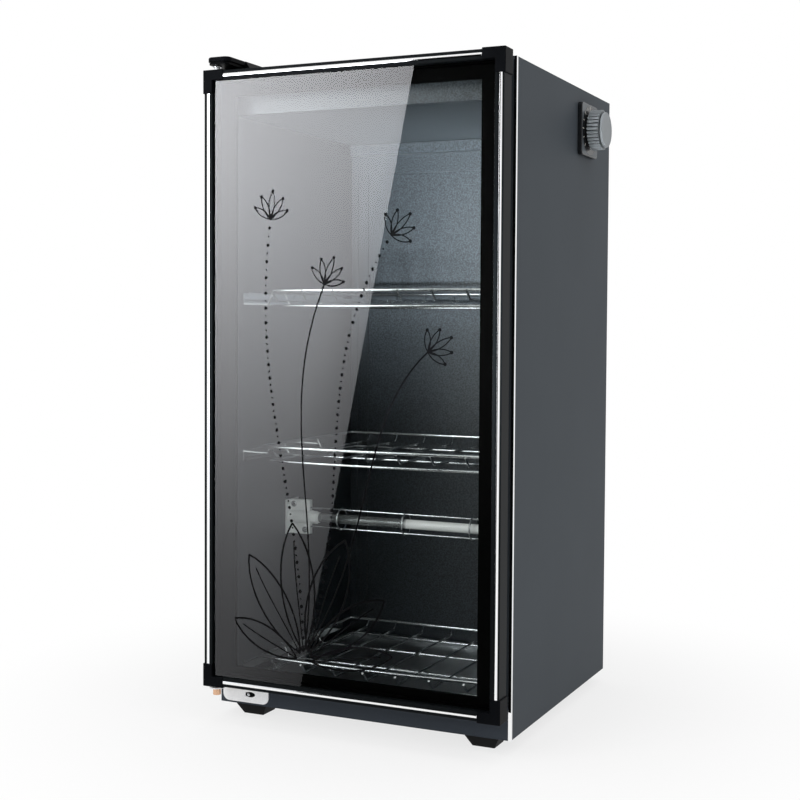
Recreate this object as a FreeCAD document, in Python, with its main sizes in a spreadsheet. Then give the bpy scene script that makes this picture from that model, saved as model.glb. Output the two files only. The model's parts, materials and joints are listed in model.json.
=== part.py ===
import FreeCAD, Part
import math
import os
import re
import Sketcher
from FreeCAD import Vector

# Countertop dish sterilizer cabinet: a steel body with a dark liner, a framed glass door hung on
# the left, three wire racks, an infrared heating tube and a rotary timer on the right side.
#
# Places are written from the body's lower front left corner: x runs to the right, y to the back
# and z up, in millimetres. place() then shifts every piece so that the document's origin lies
# under the middle of the whole object, on the plane that its feet stand on.

document = FreeCAD.newDocument("dish_sterilizer_cabinet")

# Driving dimensions: (alias, value, what it is). Values that start with "=" follow from others.
DIMENSIONS = [
    # body
    ("body_width", 352, "outside width of the steel body"),
    ("body_depth", 328, "outside depth of the steel body"),
    ("body_height", 700, "height of the steel body without its feet"),
    ("skin", 1, "thickness of the outer sheet steel"),
    ("seam", 0.2, "clearance between folded sheets"),
    ("lip", 12, "width of folded flanges"),
    ("pan_lip", 7, "height of the top and bottom sheets' lips"),
    ("side_wall", 22, "outer face of a side to the cavity"),
    ("top_wall", 42, "top of the body to the cavity's ceiling"),
    ("floor_wall", 20, "bottom of the body to the cavity's floor"),
    ("back_wall", 48, "back of the body to the cavity's back"),
    ("liner", 1, "thickness of the liner sheet"),
    ("sill", 38, "top of the front plinth above the body's bottom"),
    ("sill_depth", 9, "how far the plinth's sill turns in"),
    ("trim_leg", 3.4, "leg of the bright corner trim"),
    ("trim_sheet", 0.6, "thickness of the corner trim"),
    # back of the cavity
    ("band_height", 14, "height of the band under the ceiling at the back"),
    ("band_depth", 6, "how far the band stands forward"),
    ("press", 2, "depth of the pressed relief in the back liner"),
    ("groove_inset", 9, "side of the back liner to its groove"),
    ("groove_width", 6, "width of the groove"),
    ("panel_inset", 24, "side of the back liner to its pressed panel"),
    # feet
    ("foot_height", 15, "height of a foot"),
    ("foot_top", 38, "upper side length of a foot"),
    ("foot_base", 25, "lower side length of a foot"),
    ("foot_inset", 17, "outside of the body to a foot"),
    ("foot_flange", 3, "straight flange at the top of a foot"),
    ("foot_recess", 11, "diameter of the screw recess under a foot"),
    ("foot_recess_depth", 9, "depth of the screw recess"),
    # door
    ("door_left", 2.5, "left side of the body to the door"),
    ("door_right", 0, "door to the right side of the body"),
    ("door_base", 27, "bottom of the body to the door"),
    ("door_over", 2, "how far the door stands above the body"),
    ("door_gap", 14, "door's back to the body's front"),
    ("door_depth", 21, "thickness of the door's frame"),
    ("face", 10, "face width of the frame profile"),
    ("inlay", 3.2, "width of the bright inlay strip"),
    ("inlay_depth", 1, "depth of the inlay's groove"),
    ("inlay_proud", 0.3, "how far the inlay stands out of the groove"),
    ("slot_front", 3, "door front to the glass slot"),
    ("slot_depth", 5, "depth of the glass slot"),
    ("glass", 4, "thickness of the door glass"),
    ("glass_play", 0.2, "play of the glass in its slot, each side"),
    ("glass_edge", 0.5, "glass edge to the slot's bottom"),
    ("chamber_wall", 1.7, "wall around the profile's chamber"),
    ("chamber_front", 10, "door front to the chamber"),
    ("spigot_play", 0.2, "play of a corner's spigot in the chamber"),
    ("spigot", 12, "length of a corner's spigot"),
    ("corner_leg", 24, "length of a corner piece's legs"),
    ("corner_proud", 1.5, "how far a corner piece stands out sideways"),
    ("corner_front", 0.8, "how far a corner piece stands out in front"),
    ("border_side", 30, "door's side to the window"),
    ("border_top", 26, "door's top to the window"),
    ("border_base", 20, "door's bottom to the window"),
    ("border_sheet", 6, "thickness of the inner frame"),
    ("border_rib", 2, "thickness of the inner frame's rib"),
    ("border_play", 0.15, "play of the inner frame in the profiles"),
    ("seal_side", 8, "door's side to the gasket"),
    ("seal_top", 10, "door's top to the gasket"),
    ("seal_base", 2, "door's bottom to the gasket"),
    ("seal_width", 8.5, "width of the gasket's base"),
    ("seal_foot", 5, "thickness of the gasket's base"),
    ("seal_lip", 1.6, "how far the magnet bulb is narrower, each side"),
    ("seal_clear", 0.3, "gasket to the body's front"),
    # hinges
    ("hinge_x", 10, "left side of the body to the hinge axis"),
    ("hinge_inset", 7, "door's back to the hinge axis"),
    ("pin", 6, "diameter of the hinge pins"),
    ("pin_play", 0.05, "radial running clearance of the pins"),
    ("pin_engage", 10, "length of a pin inside the door"),
    ("bush_wall", 1.2, "wall of a hinge bush"),
    ("bush_play", 0.05, "radial play of a bush in its seat"),
    ("bush_flange", 12, "diameter of a bush's flange"),
    ("bush_flange_height", 1.2, "thickness of a bush's flange"),
    ("arm_sheet", 2.8, "thickness of the upper hinge arm"),
    ("arm_rise", 9.5, "top of the body to the underside of the arm"),
    ("arm_left", 5, "left side of the body to the arm"),
    ("arm_width", 25, "width of the arm"),
    ("arm_reach", 12, "hinge axis to the arm's front"),
    ("arm_foot", 40, "length of the arm's foot on the body"),
    ("collar", 10, "diameter of the upper pin's collar"),
    ("collar_height", 1.5, "thickness of the collar"),
    ("cover_left", 4, "left side of the body to the hinge cover"),
    ("cover_width", 28, "width of the cover's top"),
    ("cover_slope", 12, "extra width of the cover where it meets the body"),
    ("cover_height", 17.5, "height of the cover above the body"),
    ("cover_reach", 13, "hinge axis to the cover's front"),
    ("cover_length", 47, "length of the cover on the body"),
    ("cover_wall", 1.6, "wall of the cover"),
    ("cover_round", 7, "front corner radius of the cover"),
    ("plate_left", 6, "left side of the body to the lower hinge plate"),
    ("plate_width", 59, "width of the lower hinge plate"),
    ("plate_base", 2.5, "bottom of the body to the hinge plate"),
    ("plate_sheet", 2, "thickness of the lower hinge plate"),
    ("plate_round", 8, "lower corner radius of the hinge plate"),
    ("ledge_top", 23, "bottom of the body to the hinge ledge's top"),
    ("ledge_round", 8.5, "radius of the ledge around the pin"),
    ("pin_head", 9, "diameter of the lower pin's head"),
    ("pin_head_height", 7.5, "height of the lower pin's head"),
    # timer
    ("timer_y", 231, "front of the body to the timer's axis"),
    ("timer_drop", 46, "top of the body to the timer's axis"),
    ("bezel", 60, "side length of the timer's bezel"),
    ("bezel_depth", 5.5, "thickness of the bezel"),
    ("bezel_round", 5, "corner radius of the bezel"),
    ("knob", 46, "diameter over the knob's ribs"),
    ("knob_cap", 40, "diameter of the knob's smooth cap"),
    ("knob_length", 20, "length of the knob"),
    ("knob_gap", 0.5, "bezel to the knob"),
    ("knob_ribs", 32, "number of ribs"),
    ("rib_depth", 1.3, "depth of the flutes between the ribs"),
    ("rib_length", 16, "length of the ribbed part"),
    ("knob_draft", 1.2, "how much narrower the cap is at its face, each side"),
    ("shaft", 6, "diameter of the timer's shaft"),
    ("shaft_play", 0.05, "radial clearance of the shaft"),
    ("shaft_grip", 13, "length of the shaft inside the knob"),
    ("timer_case", 46, "side length of the timer's case"),
    ("timer_play", 0.5, "timer's case to the liner"),
    ("timer_neck", 10, "diameter of the timer's threaded neck"),
    # heater
    ("heater_y", 121, "front of the body to the heater's axis"),
    ("heater_z", 197, "bottom of the body to the heater's axis"),
    ("tube", 11, "diameter of the quartz tube"),
    ("tube_wall", 1.2, "wall of the quartz tube"),
    ("holder_width", 28, "length of a tube holder along the tube"),
    ("holder_height", 41, "height of a tube holder"),
    ("holder_sheet", 6, "thickness of a holder's plate"),
    ("holder_screw_inset", 5.5, "edges of a holder to its screws"),
    ("holder_bevel", 2, "bevel of a holder's corners"),
    ("saddle", 16.5, "diameter of the holder's saddle"),
    ("socket_depth", 20, "length of the tube inside a holder"),
    ("socket_play", 0.2, "radial play of the tube in a holder"),
    ("angle_sheet", 1.5, "thickness of the holder's angle bracket"),
    ("angle_depth", 30, "depth of the angle bracket on the wall"),
    ("end_cap", 18, "diameter over the lobes of a tube's end collar"),
    ("end_cap_width", 13, "length of an end collar"),
    ("lobe_depth", 1.6, "depth of the notches between an end collar's lobes"),
    ("cage", 22.5, "diameter of the guard's rings at the wire's centre"),
    ("cage_wire", 2, "diameter of the guard's wire"),
    ("cage_rings", 3, "number of the guard's rings"),
    # racks
    ("rack_upper_z", 465, "bottom of the body to the upper rack's rim"),
    ("rack_middle_z", 289, "bottom of the body to the middle rack's rim"),
    ("rack_lower_z", 49, "bottom of the body to the lower rack's rim"),
    ("rack_play", 1, "cavity's wall to the rim's side wire"),
    ("rack_front", 16, "front of the body to the rim's front corners"),
    ("rack_rear", 14, "cavity's back to the rim's back wire"),
    ("rack_bow", 8, "how far the front wire bows forward"),
    ("rack_round", 12, "corner radius of the rim"),
    ("rim_wire", 4, "diameter of the rim wire"),
    ("base_wire", 3.2, "diameter of the lower loop's wire"),
    ("cross_wire", 2.6, "diameter of the cross wires"),
    ("rack_drop", 17, "rim to the lower loop"),
    ("rack_taper", 9, "how much smaller the lower loop is, each side"),
    ("dish_pitch", 39, "distance between the wires that part the dishes"),
    ("weld", 0.4, "how deep welded wires sink into each other"),
    ("rail_ledge", 7.5, "width of a rack rail's ledge"),
    ("rail_height", 14, "height of a rack rail"),
    ("rail_sheet", 1.2, "thickness of a rack rail"),
    ("rail_front", 13, "front of the body to a rail's front end"),
    ("rail_clear", 0.3, "rack rim to the rail's ledge"),
    # drip tray
    ("tray_inset", 4, "cavity wall to the drip tray"),
    ("tray_height", 7, "height of the drip tray"),
    ("tray_sheet", 0.8, "thickness of the drip tray"),
    ("tray_rim", 4, "width of the drip tray's rim"),
    # rear
    ("vent_width", 22, "length of a vent slot"),
    ("vent_height", 3, "height of a vent slot"),
    ("vent_pitch", 7, "distance between vent slots"),
    ("vent_rows", 4, "vent slots in a column"),
    ("vent_columns", 6, "columns of vent slots"),
    ("vent_drop", 4, "cavity's ceiling to the lowest vent slot"),
    ("vent_step", 30, "distance between columns"),
    ("gland_inset", 42, "right side of the body to the cord gland"),
    ("gland_z", 52, "bottom of the body to the cord gland"),
    ("gland", 14, "diameter of the cord gland"),
    ("gland_bore", 7, "bore of the cord gland"),
    ("gland_flange", 19, "diameter of the gland's flange"),
    ("gland_flange_depth", 2.5, "thickness of the gland's flange"),
    ("gland_nose", 11, "diameter of the gland's nose"),
    ("gland_neck", 5, "length of the gland inside the back panel"),
    ("gland_length", 16, "how far the gland stands out"),
    # electrical parts above the ceiling
    ("terminal_length", 36, "length of the terminal block"),
    ("terminal_width", 22, "width of the terminal block"),
    ("terminal_base", 6, "thickness of the terminal block's base"),
    ("terminal_rise", 10, "height of its row of clamps"),
    ("terminal_hole", 5, "diameter of a clamp's screw hole"),
    ("terminal_pitch", 12, "distance between the clamps"),
    ("thermostat_disc", 24, "diameter of the thermostat's flange"),
    ("thermostat_sheet", 2, "thickness of that flange"),
    ("thermostat_can", 16, "diameter of the thermostat's can"),
    ("thermostat_rise", 9, "height of the can"),
    ("thermostat_shift", 60, "middle of the body to the thermostat"),
    ("tab", 6, "width and length of a tab"),
    ("tab_sheet", 1, "thickness of a tab"),
    # screws
    ("screw", 4, "diameter of a screw's shank"),
    ("screw_head", 7.6, "diameter of a screw's head"),
    ("screw_head_height", 2.4, "height of a screw's head"),
    ("screw_length", 8, "length of a screw's shank"),
    # values that follow
    ("panel_depth", "=body_depth - skin", "depth of the side panels"),
    ("panel_height", "=body_height - 2 * skin", "height of the side panels"),
    ("stile", "=side_wall - liner", "width of the front flange of a side"),
    ("cavity_back", "=body_depth - back_wall", "front of the body to the cavity's back"),
    ("cavity_top", "=body_height - top_wall", "bottom of the body to the cavity's ceiling"),
    ("cavity_width", "=body_width - 2 * side_wall", "width of the cavity"),
    ("door_width", "=body_width - door_left - door_right", "width of the door's frame"),
    ("door_height", "=body_height + door_over - door_base", "height of the door's frame"),
    ("door_front", "=door_gap + door_depth", "door's front ahead of the body's front"),
    ("slot", "=glass + 2 * glass_play", "width of the glass slot"),
    ("knob_reach", "=bezel_depth + knob_gap + knob_length", "how far the knob stands out"),
    ("hinge_y", "=door_gap + hinge_inset", "hinge axis ahead of the body's front"),
    ("timer_z", "=body_height - timer_drop", "bottom of the body to the timer's axis"),
    ("timer_depth", "=side_wall - skin - liner - timer_play", "depth of the timer's case"),
    ("gland_x", "=body_width - gland_inset", "left side of the body to the cord gland"),
    ("rack_side", "=side_wall + rack_play + rim_wire / 2", "outside of the body to the rim's side wire"),
    ("rack_back", "=cavity_back - rack_rear", "front of the body to the rim's back wire"),
    ("rack_width", "=body_width - 2 * rack_side", "width between the rim's side wires"),
    ("rack_length", "=rack_back - rack_front", "length of the rim's side wires"),
    ("origin_x", "=(body_width + knob_reach - trim_sheet) / 2", "middle of the object"),
    ("origin_y", "=(body_depth + gland_length - door_front - corner_front) / 2", "middle of the object"),
]

sheet = document.addObject("Spreadsheet::Sheet", "dims")
for row, (alias, value, note) in enumerate(DIMENSIONS, start=1):
    sheet.set(f"A{row}", alias)
    sheet.set(f"B{row}", str(value))
    sheet.set(f"C{row}", note)
    sheet.setAlias(f"B{row}", alias)
document.recompute()

ALIAS = re.compile(r"\b(" + "|".join(alias for alias, _, _ in DIMENSIONS) + r")\b")
SIZE = {alias: float(sheet.get(alias)) for alias, _, _ in DIMENSIONS}
KEPT = []


def bind(item, prop, formula):
    """Drives one property from a formula written in the sheet's aliases."""
    item.setExpression(prop, ALIAS.sub(r"dims.\1", str(formula)))


def keep(item, label):
    """Marks an object as a sub-part of the cabinet."""
    item.Label = label
    KEPT.append(item)
    return item


def place(item, x, y, z):
    """Puts a piece at a place measured from the body's lower front left corner."""
    bind(item, "Placement.Base.x", f"{x} - origin_x")
    bind(item, "Placement.Base.y", f"{y} - origin_y")
    bind(item, "Placement.Base.z", f"{z} + foot_height")


def pin_point(sketch, geometry, point, x, y):
    """Ties one point of a sketch to a place given by two formulas."""
    for kind, formula in (("DistanceX", x), ("DistanceY", y)):
        index = sketch.addConstraint(Sketcher.Constraint(kind, -1, 1, geometry, point, 1.0))
        bind(sketch, f"Constraints[{index}]", formula)


def polygon(*points):
    """An outline through the given points."""
    def draw(sketch):
        first = sketch.GeometryCount
        count = len(points)
        ring = [Vector(math.cos(2 * math.pi * i / count), math.sin(2 * math.pi * i / count), 0)
                for i in range(count)]
        for i in range(count):
            sketch.addGeometry(Part.LineSegment(ring[i], ring[(i + 1) % count]), False)
        for i in range(count):
            following = first + (i + 1) % count
            sketch.addConstraint(Sketcher.Constraint("Coincident", first + i, 2, following, 1))
        for i, (x, y) in enumerate(points):
            pin_point(sketch, first + i, 1, x, y)
    return draw


def rectangle(x, y, width, height):
    """An upright rectangle from its lower left corner."""
    right = f"{x} + {width}"
    top = f"{y} + {height}"
    return polygon((x, y), (right, y), (right, top), (x, top))


def circle(x, y, diameter):
    """A circle round a point."""
    def draw(sketch):
        index = sketch.addGeometry(Part.Circle(Vector(0, 0, 0), Vector(0, 0, 1), 5), False)
        pin_point(sketch, index, 3, x, y)
        number = sketch.addConstraint(Sketcher.Constraint("Diameter", index, 10.0))
        bind(sketch, f"Constraints[{number}]", diameter)
    return draw


def few_sided(x, y, diameter, sides=8, around=False):
    """A regular polygon inside a circle, or around it, for holes and bosses that nothing turns in."""
    radius = f"({diameter}) / 2"
    if around:
        radius += f" / cos(180 / {sides})"
    return polygon(*[(f"{x} + {radius} * cos({360 * i / sides})", f"{y} + {radius} * sin({360 * i / sides})")
                     for i in range(sides)])


def screw_hole(x, y):
    """A hole that follows a screw's eight sides with a little play."""
    return few_sided(x, y, "screw + seam")


class Piece:
    """A PartDesign body. Its pads and pockets run along +x, +y or +z from a start."""

    def __init__(self, label, x, y, z, alone=True):
        self.body = document.addObject("PartDesign::Body", label)
        place(self.body, x, y, z)
        if alone:
            keep(self.body, label)

    def origin_part(self, role):
        """One of the body's own planes or axes."""
        return next(part for part in self.body.Origin.OriginFeatures if part.Role == role)

    def sketch(self, plane, start, *outlines):
        sketch = self.body.newObject("Sketcher::SketchObject", self.body.Name + "_sketch")
        sketch.AttachmentSupport = (self.origin_part(plane), [""])
        sketch.MapMode = "FlatFace"
        bind(sketch, "AttachmentOffset.Base.z", f"-1 * ({start})" if plane == "XZ_Plane" else start)
        for outline in outlines:
            outline(sketch)
        return sketch

    def feature(self, kind, sketch):
        feature = self.body.newObject("PartDesign::" + kind, f"{self.body.Name}_{kind.lower()}")
        feature.Profile = sketch
        sketch.Visibility = False
        self.body.Tip = feature
        return feature

    def pad(self, plane, start, length, *outlines):
        pad = self.feature("Pad", self.sketch(plane, start, *outlines))
        pad.Reversed = plane == "XZ_Plane"
        bind(pad, "Length", length)
        return pad

    def pocket(self, plane, start, length, *outlines):
        pocket = self.feature("Pocket", self.sketch(plane, start, *outlines))
        pocket.Reversed = plane != "XZ_Plane"
        bind(pocket, "Length", length)
        return pocket

    def revolve(self, plane, axis, *outlines):
        revolution = self.feature("Revolution", self.sketch(plane, "0", *outlines))
        revolution.ReferenceAxis = (revolution.Profile[0], [axis])
        revolution.Angle = 360
        return revolution

    def repeat(self, feature, role, count, length):
        """Repeats a feature along one of the body's axes."""
        pattern = self.body.newObject("PartDesign::LinearPattern", self.body.Name + "_pattern")
        pattern.Originals = [feature]
        pattern.Direction = (self.origin_part(role), [""])
        bind(pattern, "Occurrences", count)
        bind(pattern, "Length", length)
        self.body.Tip = pattern
        return pattern

    def ring(self, feature, role, count):
        """Repeats a feature round one of the body's axes."""
        pattern = self.body.newObject("PartDesign::PolarPattern", self.body.Name + "_ring")
        pattern.Originals = [feature]
        pattern.Axis = (self.origin_part(role), [""])
        pattern.Angle = 360
        bind(pattern, "Occurrences", count)
        self.body.Tip = pattern
        return pattern

    def dress(self, kind, size, choose):
        """Fillets or chamfers the edges that choose(edge, box) picks."""
        document.recompute()
        tip = self.body.Tip
        box = tip.Shape.BoundBox
        names = [f"Edge{i}" for i, edge in enumerate(tip.Shape.Edges, start=1) if choose(edge, box)]
        feature = self.body.newObject("PartDesign::" + kind, f"{self.body.Name}_{kind.lower()}")
        feature.Base = (tip, names)
        bind(feature, "Radius" if kind == "Fillet" else "Size", size)
        self.body.Tip = feature
        return feature


def runs_along(edge, axis):
    """Whether an edge is straight and parallel to an axis."""
    if edge.Curve.TypeId != "Part::GeomLine":
        return False
    return abs(edge.tangentAt(edge.FirstParameter).dot(axis)) > 0.999


def near(first, second):
    """Whether two lengths agree."""
    return abs(first - second) < 0.01


X_AXIS = Vector(1, 0, 0)
Y_AXIS = Vector(0, 1, 0)
Z_AXIS = Vector(0, 0, 1)


def group(label, solids):
    """One node that holds several separate solids, such as a set of screws."""
    compound = document.addObject("Part::Compound", label)
    compound.Links = solids
    return keep(compound, label)


def block(name, x, y, z, length, width, height):
    """A Part box at a place, for strips and other plain bars."""
    box = document.addObject("Part::Box", name)
    bind(box, "Length", length)
    bind(box, "Width", width)
    bind(box, "Height", height)
    place(box, x, y, z)
    return box


DIRECTIONS = {"y": (X_AXIS, -90), "-y": (X_AXIS, 90), "z": (Z_AXIS, 0), "-z": (X_AXIS, 180)}


def prism(name, radius, height):
    """A bar with eight sides."""
    bar = document.addObject("Part::Prism", name)
    bar.Polygon = 8
    bind(bar, "Circumradius", radius)
    bind(bar, "Height", height)
    return bar


def screw(name, x, y, z, direction, length="screw_length"):
    """A screw: (x, y, z) is under its head and its shank points along direction."""
    axis, angle = DIRECTIONS[direction]
    head = prism(name + "_head", "screw_head / 2", "screw_head_height")
    bind(head, "Placement.Base.z", "-1 * screw_head_height")
    whole = document.addObject("Part::Fuse", name)
    whole.Base = head
    whole.Tool = prism(name + "_shank", "screw / 2", length)
    whole.Placement.Rotation = FreeCAD.Rotation(axis, angle)
    place(whole, x, y, z)
    return whole


# ---------------------------------------------------------------- body shell

ARM_SCREWS = [("arm_left + arm_width / 2", f"2 * arm_sheet + {step} * (arm_foot - arm_sheet)")
              for step in (0.4, 0.8)]
PLATE_SCREW = ("plate_left + plate_width * 0.57", "plate_base + plate_round + 1.5")
FOOT_PLACES = {
    "front_left": ("foot_inset", "foot_inset / 2"),
    "front_right": ("body_width - foot_inset - foot_top", "foot_inset / 2"),
    "rear_left": ("foot_inset", "body_depth - foot_inset - foot_top"),
    "rear_right": ("body_width - foot_inset - foot_top", "body_depth - foot_inset - foot_top"),
}
BACK_SCREW_ROWS = ("2 * lip", "body_height / 2", "body_height - 2 * lip")


def side_panel(label, hand, x):
    """Outer side: one sheet with a wide front flange, a rear flange and, on the right, the timer."""
    panel = Piece(label, x, "0", "skin")

    def across(width):
        return f"{hand} * ({width})"

    panel.pad("XY_Plane", "0", "panel_height", polygon(
        (across("0"), "0"), (across("stile"), "0"), (across("stile"), "skin"),
        (across("skin"), "skin"), (across("skin"), "panel_depth - skin"),
        (across("lip"), "panel_depth - skin"), (across("lip"), "panel_depth"),
        (across("0"), "panel_depth")))
    panel.pocket("XZ_Plane", "0", "skin", polygon(
        (across("skin + seam"), "0"), (across("stile"), "0"), (across("stile"), "sill - skin"),
        (across("skin + seam"), "sill - skin")))
    for z in BACK_SCREW_ROWS:
        hole = screw_hole(across("lip / 2 + skin"), f"{z} - skin")
        panel.pocket("XZ_Plane", "panel_depth - skin", "skin", hole)
    if hand > 0:
        return
    neck_hole = few_sided("timer_y", "timer_z - skin", "timer_neck + 2 * seam", sides=12)
    panel.pocket("YZ_Plane", "-1 * skin", "skin", neck_hole)


def pan(label, z, lip_start, holes):
    """Top or bottom sheet with lips folded inside the sides and the front."""
    panel = Piece(label, "0", "0", z)
    panel.pad("XY_Plane", "0", "skin", rectangle("0", "0", "body_width", "panel_depth"))
    outer = "(skin + seam)"
    inner = "(2 * skin + seam)"
    panel.pad("XY_Plane", lip_start, "pan_lip",
              rectangle(outer, outer, f"body_width - 2 * {outer}", f"panel_depth - 2 * {outer}"),
              rectangle(inner, inner, f"body_width - 2 * {inner}", f"panel_depth - 2 * {inner}"))
    for x, y in holes:
        panel.pocket("XY_Plane", "0", "skin", screw_hole(x, y))


def bottom_panel():
    pan("bottom_panel", "0", "skin", [(f"{x} + foot_top / 2", f"{y} + foot_top / 2")
                                      for x, y in FOOT_PLACES.values()])


def top_panel():
    pan("top_panel", "body_height - skin", "-1 * pan_lip", ARM_SCREWS)


def back_panel():
    """Rear cover: flat sheet with vent slots at the top, a stiffening bead and the gland's hole."""
    panel = Piece("back_panel", "0", "panel_depth", "0")
    panel.pad("XZ_Plane", "0", "skin", rectangle("0", "0", "body_width", "body_height"))
    for column in range(int(SIZE["vent_columns"])):
        start = f"(body_width - vent_width) / 2 + ({column} - (vent_columns - 1) / 2) * vent_step"
        slot = panel.pocket("XZ_Plane", "0", "skin", rectangle(
            start, "cavity_top - vent_drop", "vent_width", "vent_height"))
        panel.repeat(slot, "Z_Axis", "vent_rows", "vent_pitch * (vent_rows - 1)")
    panel.pocket("XZ_Plane", "0", "skin", few_sided("gland_x", "gland_z", "gland + seam", sides=16))
    for x in ("lip / 2 + skin", "body_width - lip / 2 - skin"):
        for z in BACK_SCREW_ROWS:
            panel.pocket("XZ_Plane", "0", "skin", screw_hole(x, z))


def front_rail_top():
    """Folded rail between the sides, above the cavity: the gasket's upper run lies against it."""
    rail = Piece("front_rail_top", "stile + seam", "0", "cavity_top")
    rail.pad("YZ_Plane", "0", "body_width - 2 * (stile + seam)", polygon(
        ("0", "0"), ("lip", "0"), ("lip", "liner"), ("skin", "liner"),
        ("skin", "top_wall - skin - seam"), ("0", "top_wall - skin - seam")))


def plinth_front():
    """Folded strip below the door, with a sill that turns in under the gasket's lower run."""
    plinth = Piece("plinth_front", "skin + seam", "0", "skin")
    plinth.pad("YZ_Plane", "0", "body_width - 2 * (skin + seam)",
               rectangle("0", "0", "skin", "sill - 2 * skin"))
    plinth.pad("YZ_Plane", "side_wall - skin", "body_width - 2 * (side_wall + seam)", polygon(
        ("skin / 2", "sill - 3 * skin"), ("sill_depth - skin", "sill - 3 * skin"),
        ("sill_depth - skin", "floor_wall - skin + seam"), ("sill_depth", "floor_wall - skin + seam"),
        ("sill_depth", "sill - 2 * skin"), ("skin / 2", "sill - 2 * skin")))
    x, z = PLATE_SCREW
    plinth.pocket("XZ_Plane", "0", "skin", screw_hole(f"{x} - skin - seam", f"{z} - skin"))


def edge_trim(label, hand, x):
    """Bright angle bead over the body's front vertical edge."""
    trim = Piece(label, x, "-1 * trim_sheet", "0")

    def across(width):
        return f"{hand} * ({width})"

    trim.pad("XY_Plane", "0", "body_height", polygon(
        (across("0"), "0"), (across("trim_leg"), "0"), (across("trim_leg"), "trim_sheet"),
        (across("trim_sheet"), "trim_sheet"), (across("trim_sheet"), "trim_leg"), (across("0"), "trim_leg")))


# ---------------------------------------------------------------- cavity liner

def liner_side(label, x, wall_lip):
    """Side of the cavity: flat sheet with a rear flange."""
    sheet_piece = Piece(label, x, "skin + seam", "floor_wall")
    length = "cavity_back - skin - seam"
    sheet_piece.pad("XY_Plane", "0", "cavity_top - floor_wall - seam",
                    rectangle("0", "0", "liner", length))
    sheet_piece.pad("XY_Plane", "0", "cavity_top - floor_wall - seam",
                    rectangle(wall_lip, f"{length} - liner", "lip", "liner"))


def liner_ceiling():
    """Ceiling of the cavity, from the front rail to the back liner."""
    ceiling = Piece("liner_ceiling", "stile", "lip + seam", "cavity_top")
    ceiling.pad("XY_Plane", "0", "liner", rectangle(
        "0", "0", "cavity_width + 2 * liner", "cavity_back - lip - 2 * seam"))


def liner_floor():
    """Floor of the cavity: a shallow pan whose rim meets the sill."""
    floor = Piece("liner_floor", "stile", "skin + seam", "floor_wall - liner")
    floor.pad("XY_Plane", "0", "liner", rectangle(
        "0", "0", "cavity_width + 2 * liner", "cavity_back - skin - 2 * seam"))


def liner_back():
    """Back of the cavity: a band under the ceiling, two grooves and a large pressed panel."""
    back = Piece("liner_back", "stile - lip", "cavity_back", "floor_wall")
    height = "cavity_top - floor_wall + liner"
    width = "cavity_width + 2 * liner + 2 * lip"
    back.pad("XZ_Plane", "0", "liner", rectangle("0", "0", width, height))
    relief = [("lip + liner + groove_inset", "groove_width"),
              ("lip + liner + panel_inset", "cavity_width - 2 * panel_inset"),
              ("lip + liner + cavity_width - groove_inset - groove_width", "groove_width")]
    base = "panel_inset"
    rise = "cavity_top - floor_wall - band_height - 2 * panel_inset"
    back.pad("XZ_Plane", "liner", "press", *[
        rectangle(f"{x} - liner", f"{base} - liner", f"{span} + 2 * liner", f"{rise} + 2 * liner")
        for x, span in relief])
    back.pocket("XZ_Plane", "0", "press", *[rectangle(x, base, span, rise) for x, span in relief])
    back.pad("XZ_Plane", "-1 * band_depth", "band_depth", rectangle(
        "lip + liner + seam", "cavity_top - floor_wall - band_height", "cavity_width - 2 * seam",
        "band_height - seam"))


# ---------------------------------------------------------------- rack rails, drip tray

RACKS = {"upper": "rack_upper_z", "middle": "rack_middle_z", "lower": "rack_lower_z"}


def rack_rails(label, hand, x):
    """Three angle rails on one side of the cavity, one for each rack."""
    rails = []
    for name, height in RACKS.items():
        rail = document.addObject("Part::Feature", f"{label}_{name}")
        ledge = SIZE["rail_ledge"]
        sheet_size = SIZE["rail_sheet"]
        drop = SIZE["rail_height"]
        outline = [(0, 0), (ledge, 0), (ledge, -sheet_size), (sheet_size, -sheet_size),
                   (sheet_size, -drop), (0, -drop), (0, 0)]
        wire = Part.makePolygon([Vector(hand * u, 0, v) for u, v in outline])
        length = SIZE["cavity_back"] - SIZE["rail_front"] - 2 * SIZE["lip"]
        rail.Shape = Part.Face(wire).extrude(Vector(0, length, 0))
        place(rail, x, "rail_front", f"{height} - rim_wire / 2 - rail_clear")
        rails.append(rail)
    group(label, rails)


def drip_tray():
    """Shallow pressed tray that lies on the floor of the cavity."""
    tray = Piece("drip_tray", "side_wall + tray_inset", "lip + tray_inset", "floor_wall")
    width = "cavity_width - 2 * tray_inset"
    depth = "cavity_back - lip - 2 * tray_inset"
    tray.pad("XY_Plane", "0", "tray_height", rectangle(
        "tray_rim", "tray_rim", f"{width} - 2 * tray_rim", f"{depth} - 2 * tray_rim"))
    tray.pad("XY_Plane", "tray_height - tray_sheet", "tray_sheet", rectangle("0", "0", width, depth))
    tray.pocket("XY_Plane", "tray_sheet", "tray_height - tray_sheet", rectangle(
        "tray_rim + tray_sheet", "tray_rim + tray_sheet",
        f"{width} - 2 * (tray_rim + tray_sheet)", f"{depth} - 2 * (tray_rim + tray_sheet)"))


# ---------------------------------------------------------------- feet

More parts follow.
